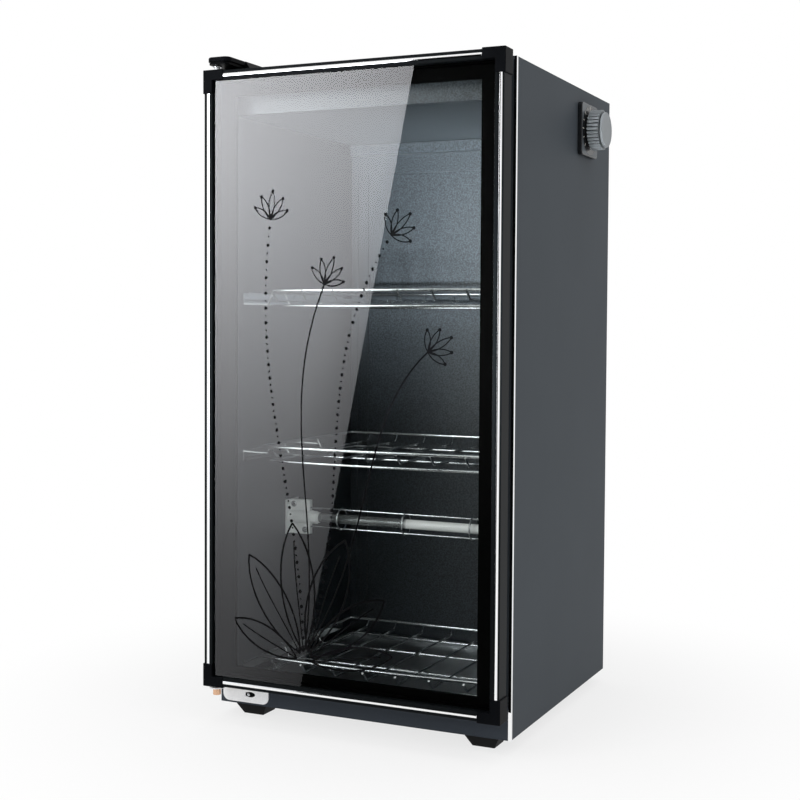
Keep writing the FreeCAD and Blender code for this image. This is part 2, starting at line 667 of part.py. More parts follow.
def foot(label, x, y):
    """Moulded foot: a straight flange, tapered sides and a recess for its screw."""
    piece = Piece(label, x, y, "-1 * foot_height")
    narrow = "(foot_top - foot_base) / 2"
    taper_top = "foot_height - foot_flange"
    # a wedge's y is turned up to the body's z
    wedge = piece.body.newObject("PartDesign::AdditiveWedge", label + "_wedge")
    wedge.AttachmentSupport = (piece.origin_part("XZ_Plane"), [""])
    wedge.MapMode = "FlatFace"
    for prop, formula in (("Xmin", narrow), ("Xmax", f"{narrow} + foot_base"),
                          ("X2min", "0"), ("X2max", "foot_top"), ("Ymin", "0"), ("Ymax", taper_top),
                          ("Zmin", f"-1 * {narrow} - foot_base"), ("Zmax", f"-1 * {narrow}"),
                          ("Z2min", "-1 * foot_top"), ("Z2max", "0")):
        bind(wedge, prop, formula)
    piece.body.Tip = wedge
    piece.pad("XY_Plane", taper_top, "foot_flange", rectangle("0", "0", "foot_top", "foot_top"))
    middle = "foot_top / 2"
    piece.pocket("XY_Plane", "0", "foot_recess_depth", few_sided(middle, middle, "foot_recess", sides=12))
    piece.pocket("XY_Plane", "0", "foot_height", screw_hole(middle, middle))


def feet():
    screws = []
    for name, (x, y) in FOOT_PLACES.items():
        foot("foot_" + name, x, y)
        screws.append(screw("foot_screw_" + name, f"{x} + foot_top / 2", f"{y} + foot_top / 2",
                            "foot_recess_depth - foot_height", "z", "foot_height - foot_recess_depth + skin"))
    group("foot_screws", screws)


# ---------------------------------------------------------------- door

def profile_points(hand):
    """Outline of the frame profile: inlay groove in front, glass slot towards the window."""
    groove = "(face - inlay) / 2"
    points = [("0", "0"), (groove, "0"), (groove, "inlay_depth"), (f"face - {groove}", "inlay_depth"),
              (f"face - {groove}", "0"), ("face", "0"), ("face", "slot_front"),
              ("face - slot_depth", "slot_front"), ("face - slot_depth", "slot_front + slot"),
              ("face", "slot_front + slot"), ("face", "door_depth"), ("0", "door_depth")]
    return [(f"{hand} * ({across})", deep) for across, deep in points]


def chamber_points(hand):
    """Outline of the hollow in the frame profile."""
    far = "face - chamber_wall"
    deep = "door_depth - chamber_wall"
    points = [("chamber_wall", "chamber_front"), (far, "chamber_front"), (far, deep), ("chamber_wall", deep)]
    return [(f"{hand} * ({across})", down) for across, down in points]


def door_stile(label, hand, x):
    """Upright frame profile between two corner pieces."""
    profile = Piece(label, x, "-1 * door_front", "door_base + corner_leg")
    profile.pad("XY_Plane", "0", "door_height - 2 * corner_leg",
                polygon(*profile_points(hand)), polygon(*chamber_points(hand)))


def door_rail(label, hand, z):
    """Level frame profile between two corner pieces."""
    profile = Piece(label, "door_left + corner_leg", "-1 * door_front", z)
    profile.pad("YZ_Plane", "0", "door_width - 2 * corner_leg",
                polygon(*[(deep, across) for across, deep in profile_points(hand)]),
                polygon(*[(deep, across) for across, deep in chamber_points(hand)]))


def door_corner(label, hand_x, hand_z, x, z):
    """Moulded corner: an L with two spigots that plug into the profiles' chambers."""
    corner = Piece(label, x, "-1 * door_front", z)

    def at(across, up):
        return (f"{hand_x} * ({across})", f"{hand_z} * ({up})")

    outside = "-1 * corner_proud"
    corner.pad("XZ_Plane", "-1 * corner_front", "door_depth + corner_front", polygon(
        at(outside, outside), at("corner_leg", outside), at("corner_leg", "face"),
        at("face", "face"), at("face", "corner_leg"), at(outside, "corner_leg")))
    slot = "face - slot_depth"
    corner.pocket("XZ_Plane", "slot_front", "slot", polygon(
        at(slot, slot), at("corner_leg", slot), at("corner_leg", "corner_leg"), at(slot, "corner_leg")))
    near_wall = "chamber_wall + spigot_play"
    far_wall = "face - chamber_wall - spigot_play"
    spigot_depth = "door_depth - chamber_wall - chamber_front - 2 * spigot_play"
    for outline in (
            polygon(at("corner_leg", near_wall), at("corner_leg + spigot", near_wall),
                    at("corner_leg + spigot", far_wall), at("corner_leg", far_wall)),
            polygon(at(near_wall, "corner_leg"), at(far_wall, "corner_leg"),
                    at(far_wall, "corner_leg + spigot"), at(near_wall, "corner_leg + spigot"))):
        corner.pad("XZ_Plane", "chamber_front + spigot_play", spigot_depth, outline)
    return corner


def bush_seat(corner, hand_z):
    """The bore in a corner piece that holds a hinge bush."""
    start = "-1 * corner_proud" if hand_z > 0 else "corner_proud - pin_engage - bush_wall"
    corner.pocket("XY_Plane", start, "pin_engage + bush_wall", few_sided(
        "hinge_x - door_left", "door_front - hinge_y", "pin + 2 * (pin_play + bush_wall + bush_play)",
        sides=16, around=True))


def door_frame():
    right = "door_left + door_width"
    top = "door_base + door_height"
    door_stile("door_profile_left", 1, "door_left")
    door_stile("door_profile_right", -1, right)
    door_rail("door_profile_bottom", 1, "door_base")
    door_rail("door_profile_top", -1, top)
    lower_left = door_corner("door_corner_lower_left", 1, 1, "door_left", "door_base")
    upper_left = door_corner("door_corner_upper_left", 1, -1, "door_left", top)
    door_corner("door_corner_lower_right", -1, 1, right, "door_base")
    door_corner("door_corner_upper_right", -1, -1, right, top)
    bush_seat(lower_left, 1)
    bush_seat(upper_left, -1)


def door_inlay():
    """Four bright strips in the grooves of the frame profiles."""
    groove = "(face - inlay) / 2"
    front = "-1 * door_front - inlay_proud"
    depth = "inlay_depth + inlay_proud"
    width = "door_width - 2 * corner_leg"
    height = "door_height - 2 * corner_leg"
    across = "door_left + corner_leg"
    up = "door_base + corner_leg"
    right = f"door_left + door_width - {groove} - inlay"
    top = f"door_base + door_height - {groove} - inlay"
    group("door_inlay", [
        block("inlay_left", f"door_left + {groove}", front, up, "inlay", depth, height),
        block("inlay_right", right, front, up, "inlay", depth, height),
        block("inlay_bottom", across, front, f"door_base + {groove}", width, depth, "inlay"),
        block("inlay_top", across, front, top, width, depth, "inlay"),
    ])


def door_glass():
    """Flat toughened pane held in the slots of the frame."""
    inset = "(face - slot_depth + glass_edge)"
    pane = block("door_glass", f"door_left + {inset}", "slot_front + glass_play - door_front",
                 f"door_base + {inset}", f"door_width - 2 * {inset}", "glass", f"door_height - 2 * {inset}")
    keep(pane, "door_glass")


def window(side, base, top):
    """A rectangle inset from the door's outline."""
    return rectangle(side, base, f"door_width - 2 * ({side})", f"door_height - ({base}) - ({top})")


def door_inner_frame():
    """Black moulded frame behind the glass: its rib holds the pane and its back carries the gasket."""
    frame = Piece("door_inner_frame", "door_left", "-1 * door_front", "door_base")
    outer = "face + border_play"
    inner = "face + border_play + border_rib"
    frame.pad("XZ_Plane", "door_depth - border_sheet", "border_sheet", window(outer, outer, outer),
              window("border_side", "border_base", "border_top"))
    rib_front = "slot_front + slot + seam"
    frame.pad("XZ_Plane", rib_front, f"door_depth - border_sheet - ({rib_front})",
              window(outer, outer, outer), window(inner, inner, inner))


def door_gasket():
    """Magnetic gasket: a flat base and a narrower bulb that meets the body."""
    gasket = Piece("door_gasket", "door_left", "-1 * door_gap", "door_base")
    far = "seal_width"
    gasket.pad("XZ_Plane", "0", "seal_foot", window("seal_side", "seal_base", "seal_top"),
               window(f"seal_side + {far}", f"seal_base + {far}", f"seal_top + {far}"))
    far = "seal_width - seal_lip"
    near_edge = "seal_lip"
    gasket.pad("XZ_Plane", "seal_foot", "door_gap - seal_foot - seal_clear",
               window(f"seal_side + {near_edge}", f"seal_base + {near_edge}", f"seal_top + {near_edge}"),
               window(f"seal_side + {far}", f"seal_base + {far}", f"seal_top + {far}"))


# ---------------------------------------------------------------- hinges

def hinge_arm():
    """Upper hinge: foot on the body's top, riser and an arm over the door with the pin's hole."""
    arm = Piece("hinge_arm_upper", "arm_left", "0", "body_height")
    top = "arm_rise + arm_sheet"
    front = "-1 * (hinge_y + arm_reach)"
    arm.pad("YZ_Plane", "0", "arm_width", polygon(
        (front, "arm_rise"), ("arm_sheet", "arm_rise"), ("arm_sheet", "0"),
        ("arm_sheet + arm_foot", "0"), ("arm_sheet + arm_foot", "arm_sheet"),
        ("2 * arm_sheet", "arm_sheet"), ("2 * arm_sheet", top), (front, top)))
    arm.pocket("XY_Plane", "arm_rise", "arm_sheet", circle("hinge_x - arm_left", "-1 * hinge_y", "pin"))
    for x, y in ARM_SCREWS:
        arm.pocket("XY_Plane", "0", "arm_sheet", screw_hole(f"{x} - arm_left", y))
    arm.dress("Fillet", "cover_round - 1", lambda edge, box: (
        runs_along(edge, Z_AXIS) and near(edge.CenterOfMass.y, box.YMin)))


def hinge_cover():
    """Moulded cap over the upper hinge, hollow over its foot and riser."""
    cover = Piece("hinge_cover_upper", "cover_left", "0", "body_height")
    start = "arm_sheet - 2 * seam"
    arm_top = "arm_rise + arm_sheet + seam"
    cover.pad("XZ_Plane", start, "cover_length", polygon(
        ("0", "0"), ("cover_width + cover_slope", "0"),
        ("cover_width", "cover_height"), ("0", "cover_height")))
    cover.pad("XY_Plane", arm_top, f"cover_height - ({arm_top})", rectangle(
        "0", "-1 * (hinge_y + cover_reach)", "cover_width", f"hinge_y + cover_reach + {start}"))
    cover.pocket("XY_Plane", "0", arm_top, rectangle(
        "arm_left - cover_left - seam", start, "arm_width + 2 * seam", f"arm_foot + arm_sheet + 2 * seam"))
    cover.dress("Fillet", "cover_round", lambda edge, box: (
        runs_along(edge, Z_AXIS) and near(edge.CenterOfMass.y, box.YMin)))
    cover.dress("Chamfer", "cover_wall * 0.6", lambda edge, box: (
        near(edge.BoundBox.ZMin, box.ZMax) and near(edge.BoundBox.YMin, box.YMin)))


def hinge_pins():
    """Upper pin: shank and collar. Lower pin: shank and head under the ledge."""
    upper = Piece("hinge_pin_upper", "hinge_x", "-1 * hinge_y", "body_height")
    low = "door_over + corner_proud - pin_engage"
    upper.pad("XY_Plane", low, f"arm_rise + arm_sheet - ({low})", circle("0", "0", "pin"))
    upper.pad("XY_Plane", "arm_rise - collar_height", "collar_height",
              few_sided("0", "0", "collar", sides=16))
    lower = Piece("hinge_pin_lower", "hinge_x", "-1 * hinge_y", "ledge_top")
    tip = "door_base - corner_proud - ledge_top + pin_engage"
    lower.pad("XY_Plane", "-1 * plate_sheet", f"plate_sheet + {tip}", circle("0", "0", "pin"))
    lower.pad("XY_Plane", "-1 * plate_sheet - pin_head_height", "pin_head_height",
              few_sided("0", "0", "pin_head", sides=16))


def hinge_bush(label, z, hand):
    """Flanged nylon bush in a corner of the door."""
    bush = Piece(label, "hinge_x", "-1 * hinge_y", z, alone=False)
    outer = "pin + 2 * (pin_play + bush_wall)"
    flange_low = "-1 * bush_flange_height" if hand > 0 else "0"
    body_low = "0" if hand > 0 else "-1 * pin_engage"
    bore_low = "-1 * bush_flange_height" if hand > 0 else "-1 * pin_engage"
    bush.pad("XY_Plane", body_low, "pin_engage", few_sided("0", "0", outer, sides=16, around=True))
    bush.pad("XY_Plane", flange_low, "bush_flange_height", few_sided("0", "0", "bush_flange", sides=16))
    bush.pocket("XY_Plane", bore_low, "pin_engage + bush_flange_height",
                circle("0", "0", "pin + 2 * pin_play"))
    return bush.body


def hinge_plate():
    """Lower hinge: plate on the plinth with a slot, and a ledge that carries the pin."""
    plate = Piece("hinge_plate_lower", "plate_left", "0", "plate_base")
    height = "ledge_top - plate_base"
    plate.pad("XZ_Plane", "-1 * plate_sheet", "plate_sheet", rectangle("0", "0", "plate_width", height))
    centre = "hinge_x - plate_left"
    plate.pad("XY_Plane", f"{height} - plate_sheet", "plate_sheet",
              rectangle("0", "-1 * hinge_y", f"{centre} + ledge_round", "hinge_y - plate_sheet / 2"))
    plate.pad("XY_Plane", f"{height} - plate_sheet", "plate_sheet",
              circle(centre, "-1 * hinge_y", "2 * ledge_round"))
    plate.pocket("XY_Plane", f"{height} - plate_sheet", "plate_sheet", circle(centre, "-1 * hinge_y", "pin"))
    x, z = PLATE_SCREW
    plate.pocket("XZ_Plane", "-1 * plate_sheet", "plate_sheet", rectangle(
        f"{x} - plate_left - screw", f"{z} - plate_base - (screw + seam) / 2",
        "2 * screw", "screw + seam"))
    plate.dress("Fillet", "plate_round", lambda edge, box: (
        runs_along(edge, Y_AXIS) and near(edge.CenterOfMass.z, box.ZMin)
        and (near(edge.CenterOfMass.x, box.XMin) or near(edge.CenterOfMass.x, box.XMax) or
             near(edge.CenterOfMass.x, SIZE["plate_width"]) or near(edge.CenterOfMass.x, 0))))


def hinges():
    hinge_arm()
    hinge_cover()
    hinge_pins()
    group("hinge_bushes", [
        hinge_bush("bush_lower", "door_base - corner_proud", 1),
        hinge_bush("bush_upper", "door_base + door_height + corner_proud", -1),
    ])
    hinge_plate()
    screws = [screw(f"arm_screw_{count}", x, y, "body_height + arm_sheet", "-z")
              for count, (x, y) in enumerate(ARM_SCREWS)]
    x, z = PLATE_SCREW
    screws.append(screw("plate_screw", x, "-1 * plate_sheet", z, "y"))
    group("hinge_screws", screws)


# ---------------------------------------------------------------- timer

def timer():
    face_x = "body_width"
    bezel = Piece("timer_bezel", face_x, "timer_y", "timer_z")
    bezel.pad("YZ_Plane", "0", "bezel_depth", rectangle("-1 * bezel / 2", "-1 * bezel / 2", "bezel", "bezel"))
    bezel.dress("Fillet", "bezel_round", lambda edge, box: runs_along(edge, X_AXIS))
    bezel.pocket("YZ_Plane", "0", "bezel_depth", few_sided("0", "0", "timer_neck + 2 * seam", sides=12))

    case = Piece("timer_case", "body_width - skin", "timer_y", "timer_z")
    half = "timer_case / 2"
    case.pad("YZ_Plane", "-1 * timer_depth", "timer_depth",
             rectangle(f"-1 * {half}", f"-1 * {half}", "timer_case", "timer_case"))
    case.pad("YZ_Plane", "0", "skin + bezel_depth - seam", few_sided("0", "0", "timer_neck", sides=12))
    case.pocket("YZ_Plane", "-1 * timer_depth / 2", "timer_depth / 2 + skin + bezel_depth",
                circle("0", "0", "shaft + 2 * shaft_play"))

    shaft = Piece("timer_shaft", "body_width - skin", "timer_y", "timer_z")
    reach = "skin + bezel_depth + knob_gap + shaft_grip"
    shaft.pad("YZ_Plane", "-1 * timer_depth / 2 + seam", f"timer_depth / 2 - seam + {reach}",
              circle("0", "0", "shaft"))
    shaft.pocket("YZ_Plane", f"{reach} - shaft_grip + seam", "shaft_grip",
                 rectangle("-1 * shaft", "shaft / 3", "2 * shaft", "shaft"))

    knob = Piece("timer_knob", "body_width + bezel_depth + knob_gap", "timer_y", "timer_z")
    knob.revolve("XZ_Plane", "H_Axis", polygon(
        ("0", "0"), ("0", "knob / 2"), ("rib_length", "knob / 2"), ("rib_length", "knob_cap / 2"),
        ("knob_length", "knob_cap / 2 - knob_draft"), ("knob_length", "0")))
    flute = knob.pocket("YZ_Plane", "0", "rib_length", polygon(
        ("0", "knob / 2 - rib_depth"), ("rib_depth", "knob / 2 + seam"),
        ("-1 * rib_depth", "knob / 2 + seam")))
    knob.ring(flute, "X_Axis", "knob_ribs")
    knob.pocket("YZ_Plane", "0", "shaft_grip + seam", circle("0", "0", "shaft + 2 * shaft_play"))


# ---------------------------------------------------------------- heater

# a holder's screws sit on one diagonal: upwards at the wall, downwards at the tube's end
HOLDER_SCREWS = [("angle_sheet + holder_screw_inset", "holder_height / 2 - holder_screw_inset"),
                 ("holder_width - holder_screw_inset", "holder_screw_inset - holder_height / 2")]


def tube_holder(side, hand, x):
    """Moulded holder for one end of the tube, its angle bracket on the wall and its end collar."""
    def across(width):
        return f"{hand} * ({width})"

    def from_wall(start, length):
        """The lower end of a stretch that runs inwards from the wall."""
        return across(start) if hand > 0 else across(f"{start} + {length}")

    front = "-1 * holder_sheet / 2"
    half = "holder_height / 2"
    holder = Piece(f"tube_holder_{side}", x, "heater_y", "heater_z")
    plate_start = "angle_sheet"
    plate_width = "holder_width - angle_sheet"
    holder.pad("XZ_Plane", front, "holder_sheet", polygon(
        (across(plate_start), f"-1 * {half}"), (across("holder_width"), f"-1 * {half}"),
        (across("holder_width"), half), (across(plate_start), half)))
    holder.pad("YZ_Plane", from_wall(plate_start, plate_width), plate_width,
               few_sided("0", "0", "saddle", sides=16))
    bore_start = "holder_width - socket_depth"
    holder.pocket("YZ_Plane", from_wall(bore_start, "socket_depth"), "socket_depth",
                  few_sided("0", "0", "tube + 2 * socket_play", sides=16, around=True))
    for inward, up in HOLDER_SCREWS:
        holder.pocket("XZ_Plane", front, "holder_sheet", screw_hole(across(inward), up))
    holder.dress("Chamfer", "holder_bevel", lambda edge, box: (
        runs_along(edge, Y_AXIS) and near(abs(edge.CenterOfMass.z), box.ZLength / 2)))

    angle = Piece(f"angle_{side}", x, "heater_y", "heater_z", alone=False)
    back = "holder_sheet / 2"
    angle.pad("XY_Plane", f"-1 * {half}", "holder_height", polygon(
        (across("0"), f"{back} - angle_depth / 2"), (across("angle_sheet"), f"{back} - angle_depth / 2"),
        (across("angle_sheet"), back), (across("holder_width"), back),
        (across("holder_width"), f"{back} + angle_sheet"), (across("angle_sheet"), f"{back} + angle_sheet"),
        (across("angle_sheet"), f"{back} + angle_depth / 2"), (across("0"), f"{back} + angle_depth / 2")))
    notch = "saddle / 2 + seam"
    angle.pocket("XZ_Plane", back, "angle_sheet", polygon(
        (across("angle_sheet"), f"-1 * ({notch})"), (across("holder_width"), f"-1 * ({notch})"),
        (across("holder_width"), notch), (across("angle_sheet"), notch)))
    for inward, up in HOLDER_SCREWS:
        angle.pocket("XZ_Plane", back, "angle_sheet", screw_hole(across(inward), up))

    collar = Piece(f"collar_{side}", f"{x} + {across('holder_width')}", "heater_y", "heater_z", alone=False)
    span = from_wall("0", "end_cap_width")
    radii = ("end_cap / 2", "end_cap / 2", "(end_cap / 2 - lobe_depth)", "(end_cap / 2 - lobe_depth)")
    lobes = [(f"{radii[i % 4]} * cos({15 * i})", f"{radii[i % 4]} * sin({15 * i})") for i in range(24)]
    collar.pad("YZ_Plane", span, "end_cap_width", polygon(*lobes),
               few_sided("0", "0", "tube + 2 * socket_play", sides=16, around=True))
    screws = [screw(f"holder_screw_{side}_{count}", f"{x} + {across(inward)}",
                    "heater_y - holder_sheet / 2", f"heater_z + {up}", "y", "holder_sheet + 2 * angle_sheet")
              for count, (inward, up) in enumerate(HOLDER_SCREWS)]
    return angle.body, collar.body, screws


def heater_tube():
    """Quartz tube between the two holders, hollow, with its resistance rod inside."""
    start = "side_wall + holder_width - socket_depth + seam"
    length = "cavity_width - 2 * (holder_width - socket_depth + seam)"
    tube = Piece("heater_tube", start, "heater_y", "heater_z")
    tube.pad("YZ_Plane", "0", length, circle("0", "0", "tube"), circle("0", "0", "tube - 2 * tube_wall"))


def heater_guard():
    """Wire cage round the tube: two rails that end on the holders and a row of rings."""
    first = SIZE["side_wall"] + SIZE["holder_width"]
    last = SIZE["body_width"] - first
    wire = SIZE["cage_wire"] / 2
    radius = SIZE["cage"] / 2
    solids = []
    for up in (radius, -radius):
        rail = Part.makePolygon([Vector(0, 0, up), Vector(last - first, 0, up)])
        solids.append(sweep_wire(rail, SIZE["cage_wire"]))
    count = int(SIZE["cage_rings"])
    sides = 16
    reach = radius + 2 * wire - SIZE["weld"]
    for i in range(count):
        x = (last - first) * (i + 0.5) / count
        angles = [2 * math.pi * k / sides for k in range(sides + 1)]
        corners = [Vector(x, reach * math.sin(angle), reach * math.cos(angle)) for angle in angles]
        solids.append(sweep_wire(Part.makePolygon(corners), SIZE["cage_wire"]))
    guard = document.addObject("Part::Feature", "heater_guard")
    guard.Shape = solids[0].multiFuse(solids[1:])
    place(keep(guard, "heater_guard"), "side_wall + holder_width", "heater_y", "heater_z")


def heater():
    angle_left, collar_left, screws_left = tube_holder("left", 1, "side_wall")
    angle_right, collar_right, screws_right = tube_holder("right", -1, "body_width - side_wall")
    group("holder_angles", [angle_left, angle_right])
    group("tube_collars", [collar_left, collar_right])
    group("holder_screws", screws_left + screws_right)
    heater_tube()
    heater_guard()


# ---------------------------------------------------------------- racks

CORNER_CHORDS = 3
BOW_CHORDS = 8


def sweep_wire(path, thickness, sides=6):
    """A wire along any path. Its section has few sides, because a rack repeats it many times."""
    edge = path.Edges[0]
    start = edge.valueAt(edge.FirstParameter)
    along = edge.tangentAt(edge.FirstParameter)
    turn = FreeCAD.Rotation(Z_AXIS, along)
    radius = thickness / 2
    corners = []
    for i in range(sides + 1):
        angle = 2 * math.pi * (i + 0.5) / sides
        corners.append(start + turn.multVec(Vector(radius * math.cos(angle), radius * math.sin(angle), 0)))
    sharp_corners = 1
    return path.makePipeShell([Part.makePolygon(corners)], True, False, sharp_corners)


def rim_path(left, right, front, back, bow, corner, up):
    """A closed loop with rounded corners, in chords, whose front side bows forward."""
    half = (right - left) / 2
    slope = bow_slope(half, corner, bow)
    corner_y = front + corner * math.cos(slope)
    turned = math.degrees(slope)
    reach = half - corner * (1 - math.sin(slope))
    points = [(left, corner_y)]
    points += turn(left + corner, back - corner, corner, 180, 90)
    points += turn(right - corner, back - corner, corner, 90, 0)
    points += turn(right - corner, corner_y, corner, 0, turned - 90)
    for i in range(1, BOW_CHORDS):
        x = reach * (1 - 2 * i / BOW_CHORDS)
        points.append((left + half + x, bow_front(x, half, front, bow, corner)))
    points += turn(left + corner, corner_y, corner, 270 - turned, 180)
    return Part.makePolygon([Vector(x, y, up) for x, y in points])


def turn(x, y, radius, first, last):
    """Points on a rounded corner, from one angle to another, in degrees."""
    angles = [math.radians(first + (last - first) * i / CORNER_CHORDS) for i in range(CORNER_CHORDS + 1)]
    return [(x + radius * math.cos(angle), y + radius * math.sin(angle)) for angle in angles]


def bow_slope(half, corner, bow):
    """The slope of a bowed front wire where it meets its rounded corners."""
    return 2 * math.atan(bow / (half - corner))


def bow_front(x, half, front, bow, corner):
    """Where a bowed front wire lies at a distance x from its middle."""
    slope = bow_slope(half, corner, bow)
    chord = half - corner * (1 - math.sin(slope))
    radius = chord / math.sin(slope)
    return front + radius * math.cos(slope) - math.sqrt(radius * radius - x * x)


def cross_wire(*points):
    """A thin wire with sharp bends."""
    return sweep_wire(Part.makePolygon([Vector(*point) for point in points]), SIZE["cross_wire"], sides=4)


def rack_wires():
    """One welded rack, from the front left corner of its rim: rim, lower loop and cross wires."""
    width = SIZE["rack_width"]
    length = SIZE["rack_length"]
    corner = SIZE["rack_round"]
    bow = SIZE["rack_bow"]
    taper = SIZE["rack_taper"]
    weld = SIZE["weld"]
    cross = SIZE["cross_wire"]
    low = -SIZE["rack_drop"]
    upper_path = rim_path(0, width, 0, length, bow, corner, 0)
    lower_path = rim_path(taper, width - taper, taper, length - taper, bow, corner, low)
    wires = [sweep_wire(upper_path, SIZE["rim_wire"]), sweep_wire(lower_path, SIZE["base_wire"])]
    contact = SIZE["base_wire"] / 2 + cross / 2 - weld
    floor = low + contact
    rise = SIZE["rim_wire"] / 2 - weld
    half = width / 2
    count = int((width - 2 * corner - 2 * taper) / SIZE["dish_pitch"])
    for i in range(count + 1):
        x = half + (i - count / 2) * SIZE["dish_pitch"]
        front = bow_front(x - half, half, 0, bow, corner)
        foot_front = bow_front(x - half, half - taper, taper, bow, corner)
        wires.append(cross_wire((x, front + rise, 0), (x, foot_front, floor),
                                (x, length - taper, floor), (x, length - rise, 0)))
    level = floor - cross + weld
    beside_rail = SIZE["side_wall"] + SIZE["rail_ledge"] - SIZE["rack_side"] + cross
    for y in (length * 0.3, length * 0.62):
        wires.append(cross_wire(
            (rise, y, 0), (beside_rail, y, 0), (taper + contact, y, level),
            (width - taper - contact, y, level), (width - beside_rail, y, 0), (width - rise, y, 0)))
    return wires[0].multiFuse(wires[1:])


def racks():
    shape = rack_wires()
    for name, height in RACKS.items():
        rack = document.addObject("Part::Feature", f"rack_{name}")
        rack.Shape = shape
        place(keep(rack, f"rack_{name}"), "rack_side", "rack_front", height)


# ---------------------------------------------------------------- electrical parts

def cord_gland():
    """Strain relief through the back panel: neck inside, flange and nose outside, round bore."""
    gland = Piece("cord_gland", "gland_x", "body_depth", "gland_z")
    gland.pad("XZ_Plane", "-1 * gland_neck", "gland_neck", few_sided("0", "0", "gland", sides=16))
    gland.pad("XZ_Plane", "0", "gland_flange_depth", few_sided("0", "0", "gland_flange", sides=16))
    gland.pad("XZ_Plane", "gland_flange_depth", "gland_length - gland_flange_depth",
              few_sided("0", "0", "gland_nose", sides=16))
    gland.pocket("XZ_Plane", "-1 * gland_neck", "gland_neck + gland_length", circle("0", "0", "gland_bore"))


def terminal_block():
    """Three-pole terminal block on top of the ceiling sheet."""
    left = "(body_width - terminal_length) / 2"
    row = Piece("terminal_block", left, "body_depth / 2", "cavity_top + liner")
    row.pad("XY_Plane", "0", "terminal_base", rectangle("0", "0", "terminal_length", "terminal_width"))
    row.pad("XY_Plane", "terminal_base", "terminal_rise",
            rectangle("0", "terminal_width / 4", "terminal_length", "terminal_width / 2"))
    top = "terminal_base + terminal_rise"
    hole = row.pocket("XY_Plane", f"{top} - terminal_rise / 2", "terminal_rise / 2",
                      few_sided("terminal_pitch / 2", "terminal_width / 2", "terminal_hole"))
    row.repeat(hole, "X_Axis", "3", "2 * terminal_pitch")


def thermostat():
    """Disc thermostat on top of the ceiling sheet, with its two tabs."""
    disc = Piece("thermostat", "body_width / 2 + thermostat_shift", "body_depth / 2", "cavity_top + liner")
    disc.pad("XY_Plane", "0", "thermostat_sheet", few_sided("0", "0", "thermostat_disc", sides=12))
    disc.pad("XY_Plane", "thermostat_sheet", "thermostat_rise",
             few_sided("0", "0", "thermostat_can", sides=12))
    for x in ("-1 * thermostat_can / 4 - tab_sheet / 2", "thermostat_can / 4 - tab_sheet / 2"):
        disc.pad("XY_Plane", "thermostat_sheet + thermostat_rise", "tab",
                 rectangle(x, "-1 * tab / 2", "tab_sheet", "tab"))


def back_screws():
    screws = []
    for side, x in (("left", "lip / 2 + skin"), ("right", "body_width - lip / 2 - skin")):
        screws += [screw(f"back_screw_{side}_{count}", x, "body_depth", z, "-y")
                   for count, z in enumerate(BACK_SCREW_ROWS)]
    group("back_screws", screws)


# ---------------------------------------------------------------- assembly

side_panel("side_panel_left", 1, "0")
side_panel("side_panel_right", -1, "body_width")
bottom_panel()
top_panel()
back_panel()
front_rail_top()
plinth_front()
edge_trim("edge_trim_left", 1, "-1 * trim_sheet")
edge_trim("edge_trim_right", -1, "body_width + trim_sheet")
liner_side("liner_left", "side_wall - liner", "-1 * lip")
liner_side("liner_right", "body_width - side_wall", "liner")
liner_ceiling()
liner_floor()
liner_back()
rack_rails("rack_rails_left", 1, "side_wall")
rack_rails("rack_rails_right", -1, "body_width - side_wall")
drip_tray()
feet()
door_frame()
door_inlay()
door_glass()
door_inner_frame()
door_gasket()
hinges()
timer()
heater()
racks()
cord_gland()
terminal_block()
thermostat()
back_screws()
document.recompute()

faults = [item.Name for item in document.Objects if {"Invalid", "Error"} & set(item.State)]
faults += [item.Label for item in KEPT if item.Shape.isNull() or not item.Shape.isValid()]
for item in document.Objects:
    if item.TypeId == "PartDesign::Pocket":
        if item.Shape.Volume > item.BaseFeature.Shape.Volume - 0.01:
            faults.append(f"{item.Name} cuts nothing")
if faults:
    raise RuntimeError("not built: " + ", ".join(faults))

os.makedirs("parts", exist_ok=True)
for item in KEPT:
    item.Shape.exportStep(f"parts/{item.Label}.step")
print(len(KEPT), "sub-parts written")
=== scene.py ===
"""Dish sterilizer cabinet: a glass-door warming cabinet with three wire racks and a quartz heater.

Lengths in the pieces are millimetres from the body's lower front left corner: X right, Y back, Z up.
"""
import json
import math

import bpy
from bpy.props import FloatProperty, FloatVectorProperty, IntProperty, PointerProperty
from mathutils import Euler, Matrix, Quaternion, Vector

